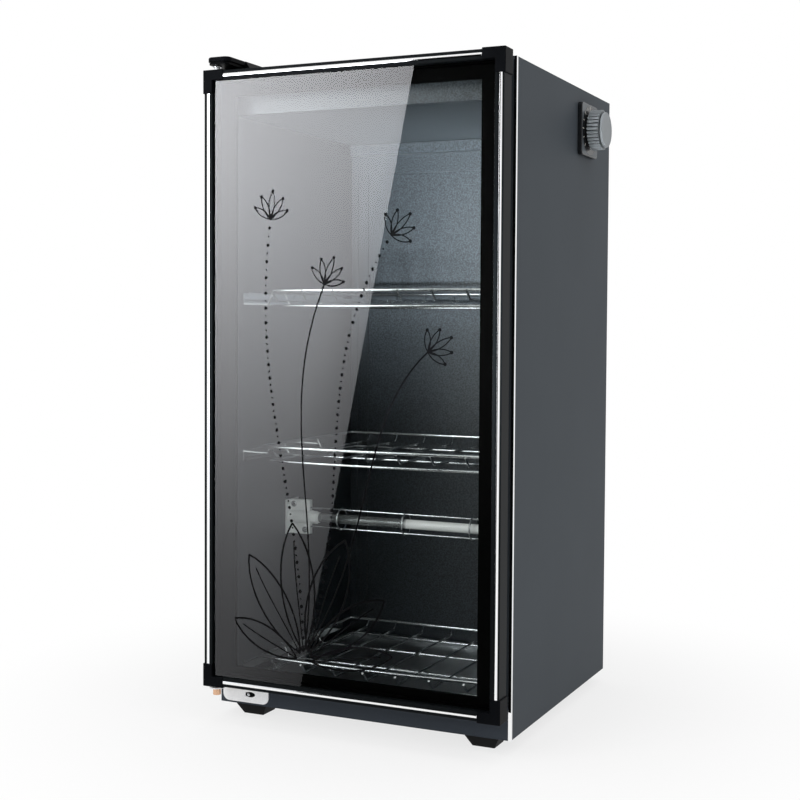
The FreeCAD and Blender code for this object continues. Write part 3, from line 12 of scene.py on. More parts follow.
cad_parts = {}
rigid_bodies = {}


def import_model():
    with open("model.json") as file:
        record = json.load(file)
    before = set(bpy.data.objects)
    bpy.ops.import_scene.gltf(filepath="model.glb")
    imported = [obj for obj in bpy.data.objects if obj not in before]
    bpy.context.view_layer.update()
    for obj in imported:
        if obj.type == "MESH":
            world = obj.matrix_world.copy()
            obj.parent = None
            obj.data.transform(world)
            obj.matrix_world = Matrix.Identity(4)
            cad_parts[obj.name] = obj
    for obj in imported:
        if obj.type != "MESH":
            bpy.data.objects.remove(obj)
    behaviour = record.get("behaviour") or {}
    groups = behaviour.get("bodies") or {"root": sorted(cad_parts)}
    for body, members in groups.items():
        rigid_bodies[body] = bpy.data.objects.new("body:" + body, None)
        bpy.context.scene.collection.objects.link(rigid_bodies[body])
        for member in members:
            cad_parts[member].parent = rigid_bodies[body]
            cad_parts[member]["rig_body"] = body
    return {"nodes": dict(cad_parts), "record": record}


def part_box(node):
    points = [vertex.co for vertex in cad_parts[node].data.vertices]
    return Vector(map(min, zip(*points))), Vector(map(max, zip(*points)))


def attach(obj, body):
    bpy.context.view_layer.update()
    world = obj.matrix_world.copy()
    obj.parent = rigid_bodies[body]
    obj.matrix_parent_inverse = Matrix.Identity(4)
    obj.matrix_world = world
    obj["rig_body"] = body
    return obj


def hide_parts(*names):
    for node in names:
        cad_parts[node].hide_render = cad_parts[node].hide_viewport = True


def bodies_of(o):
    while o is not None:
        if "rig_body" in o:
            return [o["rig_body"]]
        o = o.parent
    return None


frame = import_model()

bl_info = {
    "name": "Dish sterilizer cabinet",
    "version": (1, 0, 0),
    "blender": (4, 5, 0),
    "location": "View3D > Sidebar > Sterilizer",
    "description": "Builds the visible cabinet round its fixed construction model",
    "category": "Object",
}

MM = 0.001
NODES = frame["nodes"]
SLOT_OF = {part["node"]: part["material_slot"] for part in frame["record"]["subparts"]}
CORNER = Vector((*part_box("side_panel_left")[0].xy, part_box("bottom_panel")[0].z))
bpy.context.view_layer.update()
SCREW_HEAD = 3.8
FRONT, BACK, UP, DOWN = (0, -1, 0), (0, 1, 0), (0, 0, 1), (0, 0, -1)


def at(x, y, z):
    """A point of the cabinet in millimetres, as a place in metres."""
    return CORNER + Vector((x, y, z)) * MM


def limits(node):
    """The lowest and highest corners of a construction node, in millimetres."""
    low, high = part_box(node)
    return (low - CORNER) / MM, (high - CORNER) / MM


def axle(node):
    """The two ends along X, the middle and the half height of a construction node."""
    low, high = limits(node)
    return low.x, high.x, (low + high) / 2, (high.z - low.z) / 2


def body_of(node):
    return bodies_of(NODES[node])[0]


# ---------------------------------------------------------------- sizes and colours

def linear(code):
    """An sRGB hex colour as the linear colour that a shader takes."""
    parts = [int(code[i:i + 2], 16) / 255 for i in (1, 3, 5)]
    return tuple(p / 12.92 if p <= 0.04045 else ((p + 0.055) / 1.055) ** 2.4 for p in parts)


def colour(label, code, about):
    return FloatVectorProperty(name=label, description=about, default=linear(code), size=3,
                               subtype="COLOR", min=0, max=1)


def length(label, size, about):
    return FloatProperty(name=label, description=about, default=size * MM, unit="LENGTH", precision=5)


def light(label, amount, about, unit="POWER"):
    return FloatProperty(name=label, description=about, default=amount, min=0, unit=unit)


class SterilizerSizes(bpy.types.PropertyGroup):
    """Sizes of the finish that the construction leaves open."""
    sheet_edge: length("Sheet edge", 0.9, "Rounding of folded steel edges")
    profile_edge: length("Profile edge", 0.9, "Rounding of the door frame's edges")
    moulded_edge: length("Moulded edge", 1.4, "Rounding of moulded corners")
    print_line: length("Print line", 2.4, "Width of the lines printed on the glass")
    wire_bend: length("Wire bend", 5.0, "Radius of the bends in the rack wires")
    dial_ring: length("Dial ring", 25.6, "Radius of the printed dial marks")
    knob_ribs: IntProperty(name="Knob ribs", description="Ribs round the timer knob", default=32, min=12)
    rib_depth: length("Rib depth", 1.5, "Depth of the grooves between the ribs")


class SterilizerColours(bpy.types.PropertyGroup):
    """Colours of the main finishes."""
    cabinet: colour("Cabinet", "#474D53", "Powder coat of the outer panels")
    plinth: colour("Plinth", "#464C54", "Powder coat of the front below the door")
    liner: colour("Liner", "#34393E", "Coated sheet of the chamber")
    frame: colour("Door frame", "#121517", "Anodised door profiles")
    knob: colour("Knob", "#8E9498", "Moulded timer knob")
    print_ink: colour("Print", "#040405", "Enamel printed on the glass")


class SterilizerStage(bpy.types.PropertyGroup):
    """The studio round the cabinet."""
    key: light("Key lamp", 27, "Power of the large front lamp")
    side: light("Side lamp", 6.5, "Power of the lamp on the timer's side")
    top: light("Top lamp", 14, "Power of the lamp above")
    chamber: light("Chamber lamp", 2.5, "Power of the low lamp that lights the chamber's roof")
    sky: light("Sky", 0.45, "Strength of the light from all round", "NONE")
    window: light("Reflected card", 10.5, "Brightness of the card seen in the glass", "NONE")
    floor: colour("Floor", "#F2F2F2", "Pale studio floor")


# ---------------------------------------------------------------- shader nodes

def enabled(sockets, name):
    """The socket of that name that the node's settings leave in use."""
    return next(socket for socket in sockets if socket.name == name and socket.enabled)


def rgba(value):
    """A hex code or three linear numbers as the four numbers of a socket."""
    return (*(linear(value) if isinstance(value, str) else value), 1.0)


def feed(node, *first, **inputs):
    """Links each input that is given as (node, output) and sets any other. The first go by order."""
    for key, value in (*enumerate(first), *inputs.items()):
        socket = node.inputs[key] if isinstance(key, int) else enabled(node.inputs, key.replace("_", " "))
        if isinstance(value, tuple) and isinstance(value[0], bpy.types.Node):
            node.id_data.links.new(enabled(value[0].outputs, value[1]), socket)
        else:
            socket.default_value = value
    return node


def add(tree, kind, *first, stops=(), **values):
    """Adds one node. Capitalised values are its inputs, and small ones its settings.

    stops are the places and colours of a colour ramp.
    """
    made = tree.nodes.new("ShaderNode" + kind)
    for key in [key for key in values if key.islower()]:
        setattr(made, key, values.pop(key))
    for i, (place, value) in enumerate(stops):
        made.color_ramp.elements[i].position = place
        made.color_ramp.elements[i].color = rgba(value)
    return feed(made, *first, **values)


def surface(name, **constants):
    """A material with one Principled shader, whose given inputs are constant."""
    made = bpy.data.materials.new(name)
    made.use_nodes = True
    shader = feed(made.node_tree.nodes["Principled BSDF"], **constants)
    return made, made.node_tree, shader


def skin(tree, shader, patterns, colours, places, roughness, relief):
    """Lets one pattern drive the shader's colour, one its roughness and one a relief in millimetres.

    The colours are two hex codes, or one of the scene's colours and two shares of it.
    """
    tinting, glossing, raising = patterns
    if not colours[0].startswith("#"):
        base = getattr(bpy.context.scene.sterilizer_colours, colours[0])
        colours = [tuple(c * share for c in base) for share in colours[1:]]
    tint = add(tree, "ValToRGB", Fac=tinting, stops=zip(places, colours))
    gloss = add(tree, "MapRange", Value=glossing, To_Min=roughness[0], To_Max=roughness[1])
    bump = add(tree, "Bump", Height=raising, Strength=1.0, Distance=relief * MM)
    feed(shader, Base_Color=(tint, "Color"), Roughness=(gloss, "Result"), Normal=(bump, "Normal"))


def grained(name, colours, patch, grain, relief, roughness, **constants):
    """Two near colours in soft patches, a fine relief, and a gloss that follows it.

    patch and grain are pattern sizes and relief is a depth, in millimetres.
    """
    made, tree, shader = surface(name, **constants)
    place = (add(tree, "TexCoord"), "Object")
    cloud = add(tree, "TexNoise", Vector=place, Scale=1 / (patch * MM), Detail=3.0,
                Roughness=0.5)
    fine = add(tree, "TexNoise", Vector=place, Scale=1 / (grain * MM), Detail=2.0,
               Roughness=0.6)
    both = add(tree, "Math", (cloud, "Fac"), (fine, "Fac"), operation="MULTIPLY")
    skin(tree, shader, ((both, "Value"), (fine, "Fac"), (fine, "Fac")), colours, (0.14, 0.38),
         roughness, relief)
    return made


def drawn(name, colours, along, line, relief, roughness, **constants):
    """A rolled, drawn or turned surface, whose pattern is stretched along one axis.

    along is a stretch for each axis, line the distance between draw lines, and relief their depth.
    """
    made, tree, shader = surface(name, **constants)
    place = (add(tree, "TexCoord"), "Object")
    stretch = add(tree, "Mapping", Vector=place, Scale=along)
    lines = add(tree, "TexNoise", Vector=(stretch, "Vector"), Scale=1 / (line * MM), Detail=4.0,
                Roughness=0.65)
    skin(tree, shader, ((lines, "Fac"),) * 3, colours, (0.3, 0.7), roughness, relief)
    return made


# ---------------------------------------------------------------- finishes

def dimpled(name):
    """A coat of shallow dimples 1.9 mm apart, whose places a soft noise bends."""
    made, tree, shader = surface(name)
    place = (add(tree, "TexCoord"), "Object")
    warp = add(tree, "TexNoise", Vector=place, Scale=1 / (6 * MM), Detail=2.0)
    bend = add(tree, "VectorMath", (warp, "Color"), (1.2 * MM,) * 3, operation="MULTIPLY")
    moved = add(tree, "VectorMath", place, (bend, "Vector"), operation="ADD")
    cells = add(tree, "TexVoronoi", Vector=(moved, "Vector"), Scale=1 / (1.9 * MM), Smoothness=1.0,
                feature="SMOOTH_F1")
    dust = add(tree, "TexNoise", Vector=place, Scale=1 / (1.7 * MM), Detail=2.0)
    height = add(tree, "Math", (cells, "Distance"), (dust, "Fac"), operation="ADD")
    skin(tree, shader, ((dust, "Fac"), (dust, "Fac"), (height, "Value")), ("liner", 0.5, 1.6),
         (0.35, 0.68), (0.3, 0.46), 0.09)
    return made


def clear_pane(name):
    """Clear, faintly green glass that mirrors more at a low angle."""
    made, tree, shader = surface(name)
    tree.nodes.remove(shader)
    place = (add(tree, "TexCoord"), "Object")
    stretch = add(tree, "Mapping", Vector=place, Scale=(1.0, 1.0, 0.35))
    waves = add(tree, "TexNoise", Vector=(stretch, "Vector"), Scale=1 / (160 * MM), Detail=1.0)
    bump = add(tree, "Bump", Height=(waves, "Fac"), Strength=1.0, Distance=0.01 * MM)
    clear = add(tree, "BsdfTransparent", Color=rgba("#FAFCFB"))
    mirror = add(tree, "BsdfAnisotropic", Color=rgba("#FFFFFF"), Roughness=0.0, Normal=(bump, "Normal"))
    # Only the face that a ray enters by mirrors, as light does not bend inside this thin pane.
    mirrored = add(tree, "Fresnel", IOR=1.5)
    side = add(tree, "NewGeometry")
    entering = add(tree, "Math", 1.0, (side, "Backfacing"), operation="SUBTRACT")
    share = add(tree, "Math", (mirrored, "Fac"), (entering, "Value"), operation="MULTIPLY")
    mix = add(tree, "MixShader", (share, "Value"), (clear, "BSDF"), (mirror, "BSDF"))
    feed(tree.nodes["Material Output"], (mix, "Shader"))
    return made


def half_coated(name):
    """A clear and glossy tube with a white coat from its middle to its right end."""
    made, tree, shader = surface(name, IOR=1.458)
    start = at(*axle("heater_tube")[2]).x
    place = (add(tree, "TexCoord"), "Object")
    stretch = add(tree, "Mapping", Vector=place, Scale=(0.04, 1.0, 1.0))
    lines = add(tree, "TexNoise", Vector=(stretch, "Vector"), Scale=1 / (1.5 * MM), Detail=3.0)
    axes = add(tree, "SeparateXYZ", Vector=place)
    coat = add(tree, "MapRange", Value=(axes, "X"), From_Min=start - 2 * MM, From_Max=start + 2 * MM)
    tint = add(tree, "ValToRGB", Fac=(lines, "Fac"), stops=((0.3, "#A9ADAF"), (0.7, "#DDDFE0")))
    white = add(tree, "Mix", Factor=(coat, "Result"), A=(tint, "Color"), B=rgba("#F7F8F8"),
                data_type="RGBA")
    clear = add(tree, "MapRange", Value=(coat, "Result"), To_Min=0.86, To_Max=0.0)
    gloss = add(tree, "MapRange", Value=(lines, "Fac"), To_Min=0.04, To_Max=0.14)
    feed(shader, Base_Color=(white, "Result"), Transmission_Weight=(clear, "Result"),
         Roughness=(gloss, "Result"))
    return made


def dull(level):
    """How much a plastic or painted surface mirrors, where 0.5 is the usual share."""
    return {"Specular IOR Level": level}


METAL = {"Metallic": 1.0}

# The maker, name and values of each slot's material, and last the constants of its shader.
FINISHES = {
    # Epoxy-polyester powder baked on steel: a satin skin with a faint orange peel of about 1.6 mm.
    "grey_paint": (grained, "powder_coat_slate", ("cabinet", 0.93, 1), 90, 1.6, 0.012, (0.46, 0.56),
                   dull(0.06)),
    "dark_paint": (grained, "powder_coat_dark", ("plinth", 0.93, 1), 90, 1.6, 0.012, (0.46, 0.56),
                   dull(0.06)),
    # The rear sheet is coated thinner and more matt, so its peel is finer.
    "rear_paint": (grained, "powder_coat_rear", ("#3A3E42", "#43484C"), 60, 1.1, 0.01, (0.5, 0.6)),
    # Hammer-finish coat: its dimples glitter where light grazes them.
    "liner_sheet": (dimpled, "hammered_coated_steel"),
    # Roll-formed strip, polished bright: nearly a mirror, with hair lines along its length.
    "bright_trim": (drawn, "polished_aluminium_strip", ("#F2F3F4", "#FFFFFF"), (1, 1, 0.03), 0.5, 0.0002,
                    (0.02, 0.06), METAL),
    # Black anodised extrusion: satin, with die lines along the profile that catch a soft glint.
    "frame_black": (drawn, "black_anodised_profile", ("frame", 0.8, 1.2), (1, 1, 0.04), 0.8, 0.003,
                    (0.34, 0.44), dull(0.04)),
    # Injection-moulded ABS with a fine spark-eroded grain, so its highlights are broad and grey.
    "corner_black": (grained, "black_moulded_abs", ("#06070A", "#0D0F12"), 30, 0.45, 0.01, (0.36, 0.48),
                     dull(0.03)),
    # Toughened soda-lime glass, with the very slight waves of the rollers.
    "door_pane": (clear_pane, "toughened_glass"),
    # Ceramic enamel, screen printed and fired on the glass: dense, nearly matt, with a grainy edge.
    "print_ink": (grained, "printed_enamel", ("print_ink", 0.7, 1), 20, 0.6, 0.004, (0.5, 0.65),
                  dull(0.08)),
    # Deep black ABS frame behind the glass: no light comes back but a faint, even sheen.
    "border_black": (grained, "deep_black_abs", ("#010101", "#020202"), 120, 2.5, 0.0005, (0.5, 0.6),
                     dull(0.03)),
    # Extruded soft PVC with a magnetic strip inside: dull, with faint ripples across its length.
    "gasket_grey": (grained, "soft_pvc_gasket", ("#1E2022", "#2B2D30"), 25, 0.8, 0.02, (0.55, 0.7)),
    # Blue-white zinc plate, passivated: half metal, half milky film, so it stays pale in any light.
    "hinge_zinc": (grained, "zinc_plated_steel", ("#F1F2F3", "#FFFFFF"), 14, 0.9, 0.002, (0.4, 0.52),
                   {"Metallic": 0.6}),
    # Sheet steel, stoved black: a hard skin with a slight pebble and a low sheen.
    "hinge_black": (grained, "black_stoved_steel", ("#040507", "#090A0C"), 30, 0.9, 0.008, (0.36, 0.46),
                    dull(0.03)),
    # Turned steel: rings round the pin are too fine to see, so only their streaky gloss is drawn.
    "pin_steel": (drawn, "turned_steel", ("#AEB1B4", "#D2D4D6"), (1, 1, 20), 1.0, 0.001, (0.18, 0.3),
                  METAL),
    # Copper-coloured turned pin, bright where the tool left its streaks.
    "pin_brass": (drawn, "turned_copper", ("#CF9A72", "#F3CFB2"), (1, 1, 20), 1.0, 0.001, (0.2, 0.32),
                  METAL),
    # Natural nylon lets a little light in, so it looks waxy and its edges glow.
    "nylon": (grained, "natural_nylon", ("#D4D3CC", "#E4E3DD"), 20, 0.6, 0.006, (0.42, 0.52),
              {"Subsurface Weight": 0.15, "Subsurface Scale": 2 * MM}),
    # Barrel-plated screws: bright, with small spots where they knocked together.
    "screw_steel": (grained, "zinc_plated_screw", ("#A9ACAF", "#D0D2D4"), 5, 0.5, 0.002, (0.2, 0.34),
                    METAL),
    # High-gloss dark ABS of the plate, bright only where it mirrors the room; on the plate's sides and
    # the knob's groove floors its darkness is painted shade.
    "bezel_black": (grained, "gloss_dark_abs", ("#17191B", "#1F2225"), 60, 3.0, 0.002, (0.2, 0.28),
                    dull(0.3)),
    # Face of the same plate in a lighter slate grey lacquer; the plate's sides keep the dark gloss as
    # painted shade.
    "bezel_face": (grained, "slate_grey_lacquer", ("#50565B", "#5A6065"), 60, 2.0, 0.002, (0.3, 0.4),
                   dull(0.2)),
    # Spark-eroded grey ABS: a satin with a broad, soft shine on each rib.
    "knob_grey": (grained, "satin_grey_abs", ("knob", 0.84, 1), 24, 0.4, 0.01, (0.32, 0.42), dull(0.2)),
    # Fused quartz with draw lines along the tube, and a fired white reflector coat on its right half.
    "quartz": (half_coated, "fused_quartz"),
    # Pressed and fired steatite: chalky grey-white with a slight sparkle and small pits.
    "holder_ceramic": (grained, "pressed_steatite", ("#ECEDEE", "#FBFCFC"), 9, 0.8, 0.02, (0.38, 0.52)),
    # Bright chrome over drawn wire: a mirror with soft streaks.
    "chrome_wire": (grained, "chrome_plated_wire", ("#C9CCCF", "#E9EAEB"), 12, 0.9, 0.001, (0.14, 0.26),
                    METAL),
    # Cold-rolled stainless sheet: the rolling lines run front to back.
    "tray_steel": (drawn, "rolled_stainless", ("#9B9EA1", "#B9BBBD"), (1, 0.04, 1), 0.9, 0.001,
                   (0.26, 0.38), METAL),
    # Moulded rubber: matt, with a dusty grey bloom.
    "foot_black": (grained, "moulded_rubber", ("#0B0C0D", "#141516"), 16, 0.7, 0.02, (0.6, 0.78),
                   dull(0.15)),
    # Moulded black nylon and white polyamide: an even, half-matt sheen.
    "gland_black": (grained, "black_nylon", ("#0E0F10", "#18191A"), 16, 0.6, 0.012, (0.42, 0.54)),
    "terminal_white": (grained, "white_polyamide", ("#CFCDC5", "#E0DED6"), 16, 0.6, 0.01, (0.4, 0.5)),
}


def paint(slot):
    """The material of a slot, made when it is first asked for."""
    make, name, *values = FINISHES[slot]
    constants = values.pop() if values and isinstance(values[-1], dict) else {}
    return bpy.data.materials.get(name) or make(name, *values, **constants)


# ---------------------------------------------------------------- modelling by hand

def named(piece, name):
    piece.name = name
    piece.data.name = name
    return piece


def settle():
    """Leaves edit mode and deselects everything."""
    if bpy.context.object and bpy.context.object.mode != "OBJECT":
        bpy.ops.object.mode_set(mode="OBJECT")
    bpy.ops.object.select_all(action="DESELECT")


def hold(piece):
    """Makes one piece the only selected one, in object mode."""
    settle()
    piece.select_set(True)
    bpy.context.view_layer.objects.active = piece


def pick(piece, kind="VERT", test=lambda middle, normal: True):
    """Selects, in edit mode, the vertices, edges or faces whose middle (mm) and normal pass the test.

    An edge is tested with its direction in place of a normal. A bare pick takes every vertex.
    """
    hold(piece)
    bpy.context.tool_settings.mesh_select_mode = [kind == name for name in ("VERT", "EDGE", "FACE")]
    mesh = piece.data
    for items in (mesh.vertices, mesh.edges, mesh.polygons):
        items.foreach_set("select", [False] * len(items))
    if kind == "FACE":
        found = [(face, face.center, face.normal) for face in mesh.polygons]
    elif kind == "EDGE":
        ends = [(edge, *(mesh.vertices[i].co for i in edge.vertices)) for edge in mesh.edges]
        found = [(edge, (a + b) / 2, (b - a).normalized()) for edge, a, b in ends]
    else:
        found = [(vertex, vertex.co, vertex.normal) for vertex in mesh.vertices]
    for item, middle, normal in found:
        item.select = bool(test((middle - CORNER) / MM, normal))
    bpy.ops.object.mode_set(mode="EDIT")


def scaled(factors, centre):
    """Resizes what is picked about a point."""
    bpy.ops.transform.resize(value=factors, center_override=at(*centre))


def started(name):
    """Names the primitive that was just added and puts its place into its mesh."""
    bpy.ops.object.transform_apply(location=True, rotation=True, scale=True)
    return named(bpy.context.object, name)


def cube(name, low, high):
    """A block between two corners."""
    settle()
    a, b = at(*low), at(*high)
    bpy.ops.mesh.primitive_cube_add(size=1, location=(a + b) / 2, scale=b - a)
    return started(name)


def rod(name, start, end, radius, sides=48):
    """A round bar between two points."""
    settle()
    a, b = at(*start), at(*end)
    turn = (b - a).to_track_quat("Z", "Y").to_euler()
    bpy.ops.mesh.primitive_cylinder_add(vertices=sides, radius=radius * MM, depth=(b - a).length,
                                        location=(a + b) / 2, rotation=turn)
    return started(name)


def lathed(name, start, end, middle, radius, sides=48):
    """A round bar along X, from one place to another, at the height and depth of a point."""
    return rod(name, (start, middle.y, middle.z), (end, middle.y, middle.z), radius, sides)


def joined(name, pieces):
    """Joins pieces into the first one."""
    hold(pieces[0])
    for piece in pieces:
        piece.select_set(True)
    bpy.ops.object.join()
    return named(pieces[0], name)


def twin(piece, name, shift=(0, 0, 0)):
    """A copy of a piece with its own mesh, moved by millimetres."""
    hold(piece)
    bpy.ops.object.duplicate(linked=False)
    bpy.ops.transform.translate(value=Vector(shift) * MM)
    return started(name)


def modified(piece, kind, **settings):
    """Gives a piece a modifier with these settings and applies it."""
    hold(piece)
    bpy.ops.object.modifier_add(type=kind)
    modifier = piece.modifiers[-1]
    for key, value in settings.items():
        setattr(modifier, key, value)
    bpy.ops.object.modifier_apply(modifier=modifier.name)
    return piece


def shade(piece, angle=35):
    """Smooth shading that stops at corners, with normals that keep flat faces flat."""
    hold(piece)
    bpy.ops.object.shade_smooth_by_angle(angle=math.radians(angle))
    return modified(piece, "WEIGHTED_NORMAL", keep_sharp=True)


def soften(piece, width, segments=3, angle=32):
    """Rounds every edge that turns by more than the angle. The width is in metres."""
    return shade(modified(piece, "BEVEL", width=width, segments=segments, limit_method="ANGLE",
                          angle_limit=math.radians(angle)))


def carve(piece, tool):
    """Cuts one piece with another, which is used up."""
    modified(piece, "BOOLEAN", object=tool, operation="DIFFERENCE", solver="EXACT", use_self=True)
    bpy.data.objects.remove(tool)


def taken(name, node):
    """A welded copy of a construction node, whose flat areas are single faces again."""
    piece = named(bpy.data.objects.new(name, NODES[node].data.copy()), name)
    bpy.context.scene.collection.objects.link(piece)
    hold(piece)
    if piece.data.has_custom_normals:
        bpy.ops.mesh.customdata_custom_splitnormals_clear()
    pick(piece)
    bpy.ops.mesh.remove_doubles(threshold=0.002 * MM)
    bpy.ops.mesh.dissolve_limited(angle_limit=math.radians(0.4))
    settle()
    return piece


def dressed(name, node, width, segments=3):
    """A construction node with its edges rounded, in its slot's finish, standing for the node."""
    return placed(soften(taken(name, node), width, segments), body_of(node), SLOT_OF[node], node)


def placed(piece, body, slot, *nodes, finish=None):
    """Gives a finished piece its body and the material of its slot or finish, and hides the nodes that it
    stands for.
    """
    piece.data.materials.clear()
    piece.data.materials.append(paint(finish or slot))
    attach(piece, body)
    if nodes:
        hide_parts(*nodes)
    return piece


def repainted(piece, finish, test):
    """Gives the faces that pass the test a second finish."""
    piece.data.materials.append(paint(finish))
    pick(piece, "FACE", test)
    piece.active_material_index = 1
    bpy.ops.object.material_slot_assign()


def left_bare(*nodes):
    """Construction nodes that stay, each with the material of its slot."""
    for node in nodes:
        for slot in NODES[node].material_slots:
            slot.material = paint(SLOT_OF[node])


def rounded(points, radius, closed=False, steps=5):
    """The points of a bent wire, with its bends turned into arcs of one radius."""
    points = [Vector(p) for p in points]
    ends = () if closed else (0, len(points) - 1)
    path = []
    for i, corner in enumerate(points):
        back = points[i - 1] - corner
        ahead = points[(i + 1) % len(points)] - corner
        turn = math.pi - back.angle(ahead)
        if i in ends or turn < 0.02:
            path.append(corner)
            continue
        reach = min(radius * math.tan(turn / 2), back.length * 0.48, ahead.length * 0.48)
        bend = reach / math.tan(turn / 2)
        centre = corner + (back.normalized() + ahead.normalized()).normalized() * math.hypot(reach, bend)
        first = corner + back.normalized() * reach - centre
        last = corner + ahead.normalized() * reach - centre
        path += [centre + first.slerp(last, k / steps) for k in range(steps + 1)]
    return path


def wire(name, path, thickness, closed=False, sides=3):
    """A round wire: one vertex extruded from point to point, given a round section and made a mesh."""
    settle()
    bpy.ops.mesh.primitive_plane_add(size=MM, location=at(*path[0]))
    piece = started(name)
    pick(piece)
    bpy.ops.mesh.merge(type="CENTER")
    for here, there in zip(path, path[1:] + path[:1] if closed else path[1:]):
        bpy.ops.mesh.extrude_region_move(TRANSFORM_OT_translate={"value": (there - here) * MM})
    bpy.ops.mesh.select_all(action="SELECT")
    bpy.ops.mesh.remove_doubles(threshold=0.01 * MM)
    hold(piece)
    bpy.ops.object.convert(target="CURVE")
    line = bpy.context.object.data
    line.bevel_depth = thickness / 2 * MM
    line.bevel_resolution = sides
    line.use_fill_caps = True
    bpy.ops.object.convert(target="MESH")
    piece = named(bpy.context.object, name)
    pick(piece)
    bpy.ops.mesh.normals_make_consistent(inside=False)
    settle()
    return piece


# ---------------------------------------------------------------- the pieces

class Build:
    """What every operator here shares. Roundings are shares of a size that fit each sheet."""
    bl_options = {"REGISTER", "UNDO"}

    def execute(self, context):
        self.build(context.scene.sterilizer_sizes)
        settle()
        return {"FINISHED"}


class STERILIZER_OT_shell(Build, bpy.types.Operator):
    """Outer panels, plinth, front rail and bright trims"""
    bl_idname = "sterilizer.shell"
    bl_label = "Outer shell"

    def build(self, sizes):
        edge = sizes.sheet_edge
        for node in ("side_panel_left", "side_panel_right", "top_panel", "bottom_panel"):
            dressed(node + "_coated", node, edge * 0.5, 2)
        dressed("plinth_coated", "plinth_front", edge)
        rail = dressed("front_rail_coated", "front_rail_top", edge)
        rail.data.materials[0] = paint("liner_sheet")
        dressed("back_panel_coated", "back_panel", edge * 0.3, 2)
        for node in ("edge_trim_left", "edge_trim_right"):
            dressed(node + "_bright", node, edge * 0.25, 2)


class STERILIZER_OT_liner(Build, bpy.types.Operator):
    """Sheets of the chamber, the rack rails and the drip tray"""
    bl_idname = "sterilizer.liner"
    bl_label = "Chamber"

    def build(self, sizes):
        edge = sizes.sheet_edge
        dressed("liner_back_pressed", "liner_back", edge * 1.8, 4)
        left_bare("liner_left", "liner_right", "liner_ceiling", "liner_floor")
        for node in ("rack_rails_left", "rack_rails_right"):
            dressed(node + "_formed", node, edge * 0.4, 2)
        dressed("drip_tray_pressed", "drip_tray", edge * 0.35, 2)


class STERILIZER_OT_feet(Build, bpy.types.Operator):
    """Four moulded feet"""
    bl_idname = "sterilizer.feet"
    bl_label = "Feet"

    def build(self, sizes):
        for corner in ("front_left", "front_right", "rear_left", "rear_right"):
            dressed(f"foot_{corner}_moulded", f"foot_{corner}", sizes.sheet_edge)


class STERILIZER_OT_door_frame(Build, bpy.types.Operator):
    """Profiles, corner pieces, bright inlay, inner frame and gasket of the door"""
    bl_idname = "sterilizer.door_frame"
    bl_label = "Door frame"

    # The upper strip's lower edge, which is raised, and the right strip, which moves outward.
    UPPER_STRIP = (30, 320)
    STRIP_RAISED = 1.4
    RIGHT_STRIP = 344
    STRIP_OUTWARD = 1.6

    def build(self, sizes):
        for side in ("left", "right", "top", "bottom"):
            dressed(f"profile_{side}_anodised", f"door_profile_{side}", sizes.profile_edge)
        for corner in ("upper_left", "upper_right", "lower_left", "lower_right"):
            dressed(f"corner_{corner}_moulded", f"door_corner_{corner}", sizes.moulded_edge * 0.6)
        self.inlay(sizes)
        dressed("inner_frame_moulded", "door_inner_frame", sizes.profile_edge * 0.6)
        dressed("gasket_extruded", "door_gasket", sizes.profile_edge)

    def inlay(self, sizes):
        """Four bright strips. The upper one is set deeper, and the right one lies further out."""
        inlay = taken("inlay_bright", "door_inlay")
        top = limits("door_inlay")[1].z
        first, last = self.UPPER_STRIP
        pick(inlay, test=lambda place, normal: (top - 4 < place.z < top - 2
                                                and first < place.x < last))
        bpy.ops.transform.translate(value=(0, 0, self.STRIP_RAISED * MM))
        pick(inlay, test=lambda place, normal: place.x > self.RIGHT_STRIP)
        bpy.ops.transform.translate(value=(self.STRIP_OUTWARD * MM, 0, 0))
        soften(inlay, sizes.profile_edge * 0.3, 2)
        placed(inlay, "door", SLOT_OF["door_inlay"], "door_inlay")


class STERILIZER_OT_door_glass(Build, bpy.types.Operator):
    """The toughened pane"""
    bl_idname = "sterilizer.door_glass"
    bl_label = "Door glass"

    def build(self, sizes):
        pane = dressed("door_pane_glass", "door_glass", sizes.profile_edge * 0.5)
        pane.visible_shadow = False


def bezier(a, b, c, d, count):
    """Points along a curve from a to d that leaves towards b and arrives from c."""
    return [tuple((1 - t) ** 3 * p + 3 * (1 - t) ** 2 * t * q + 3 * (1 - t) * t * t * r + t ** 3 * w
                  for p, q, r, w in zip(a, b, c, d)) for t in (i / count for i in range(count + 1))]


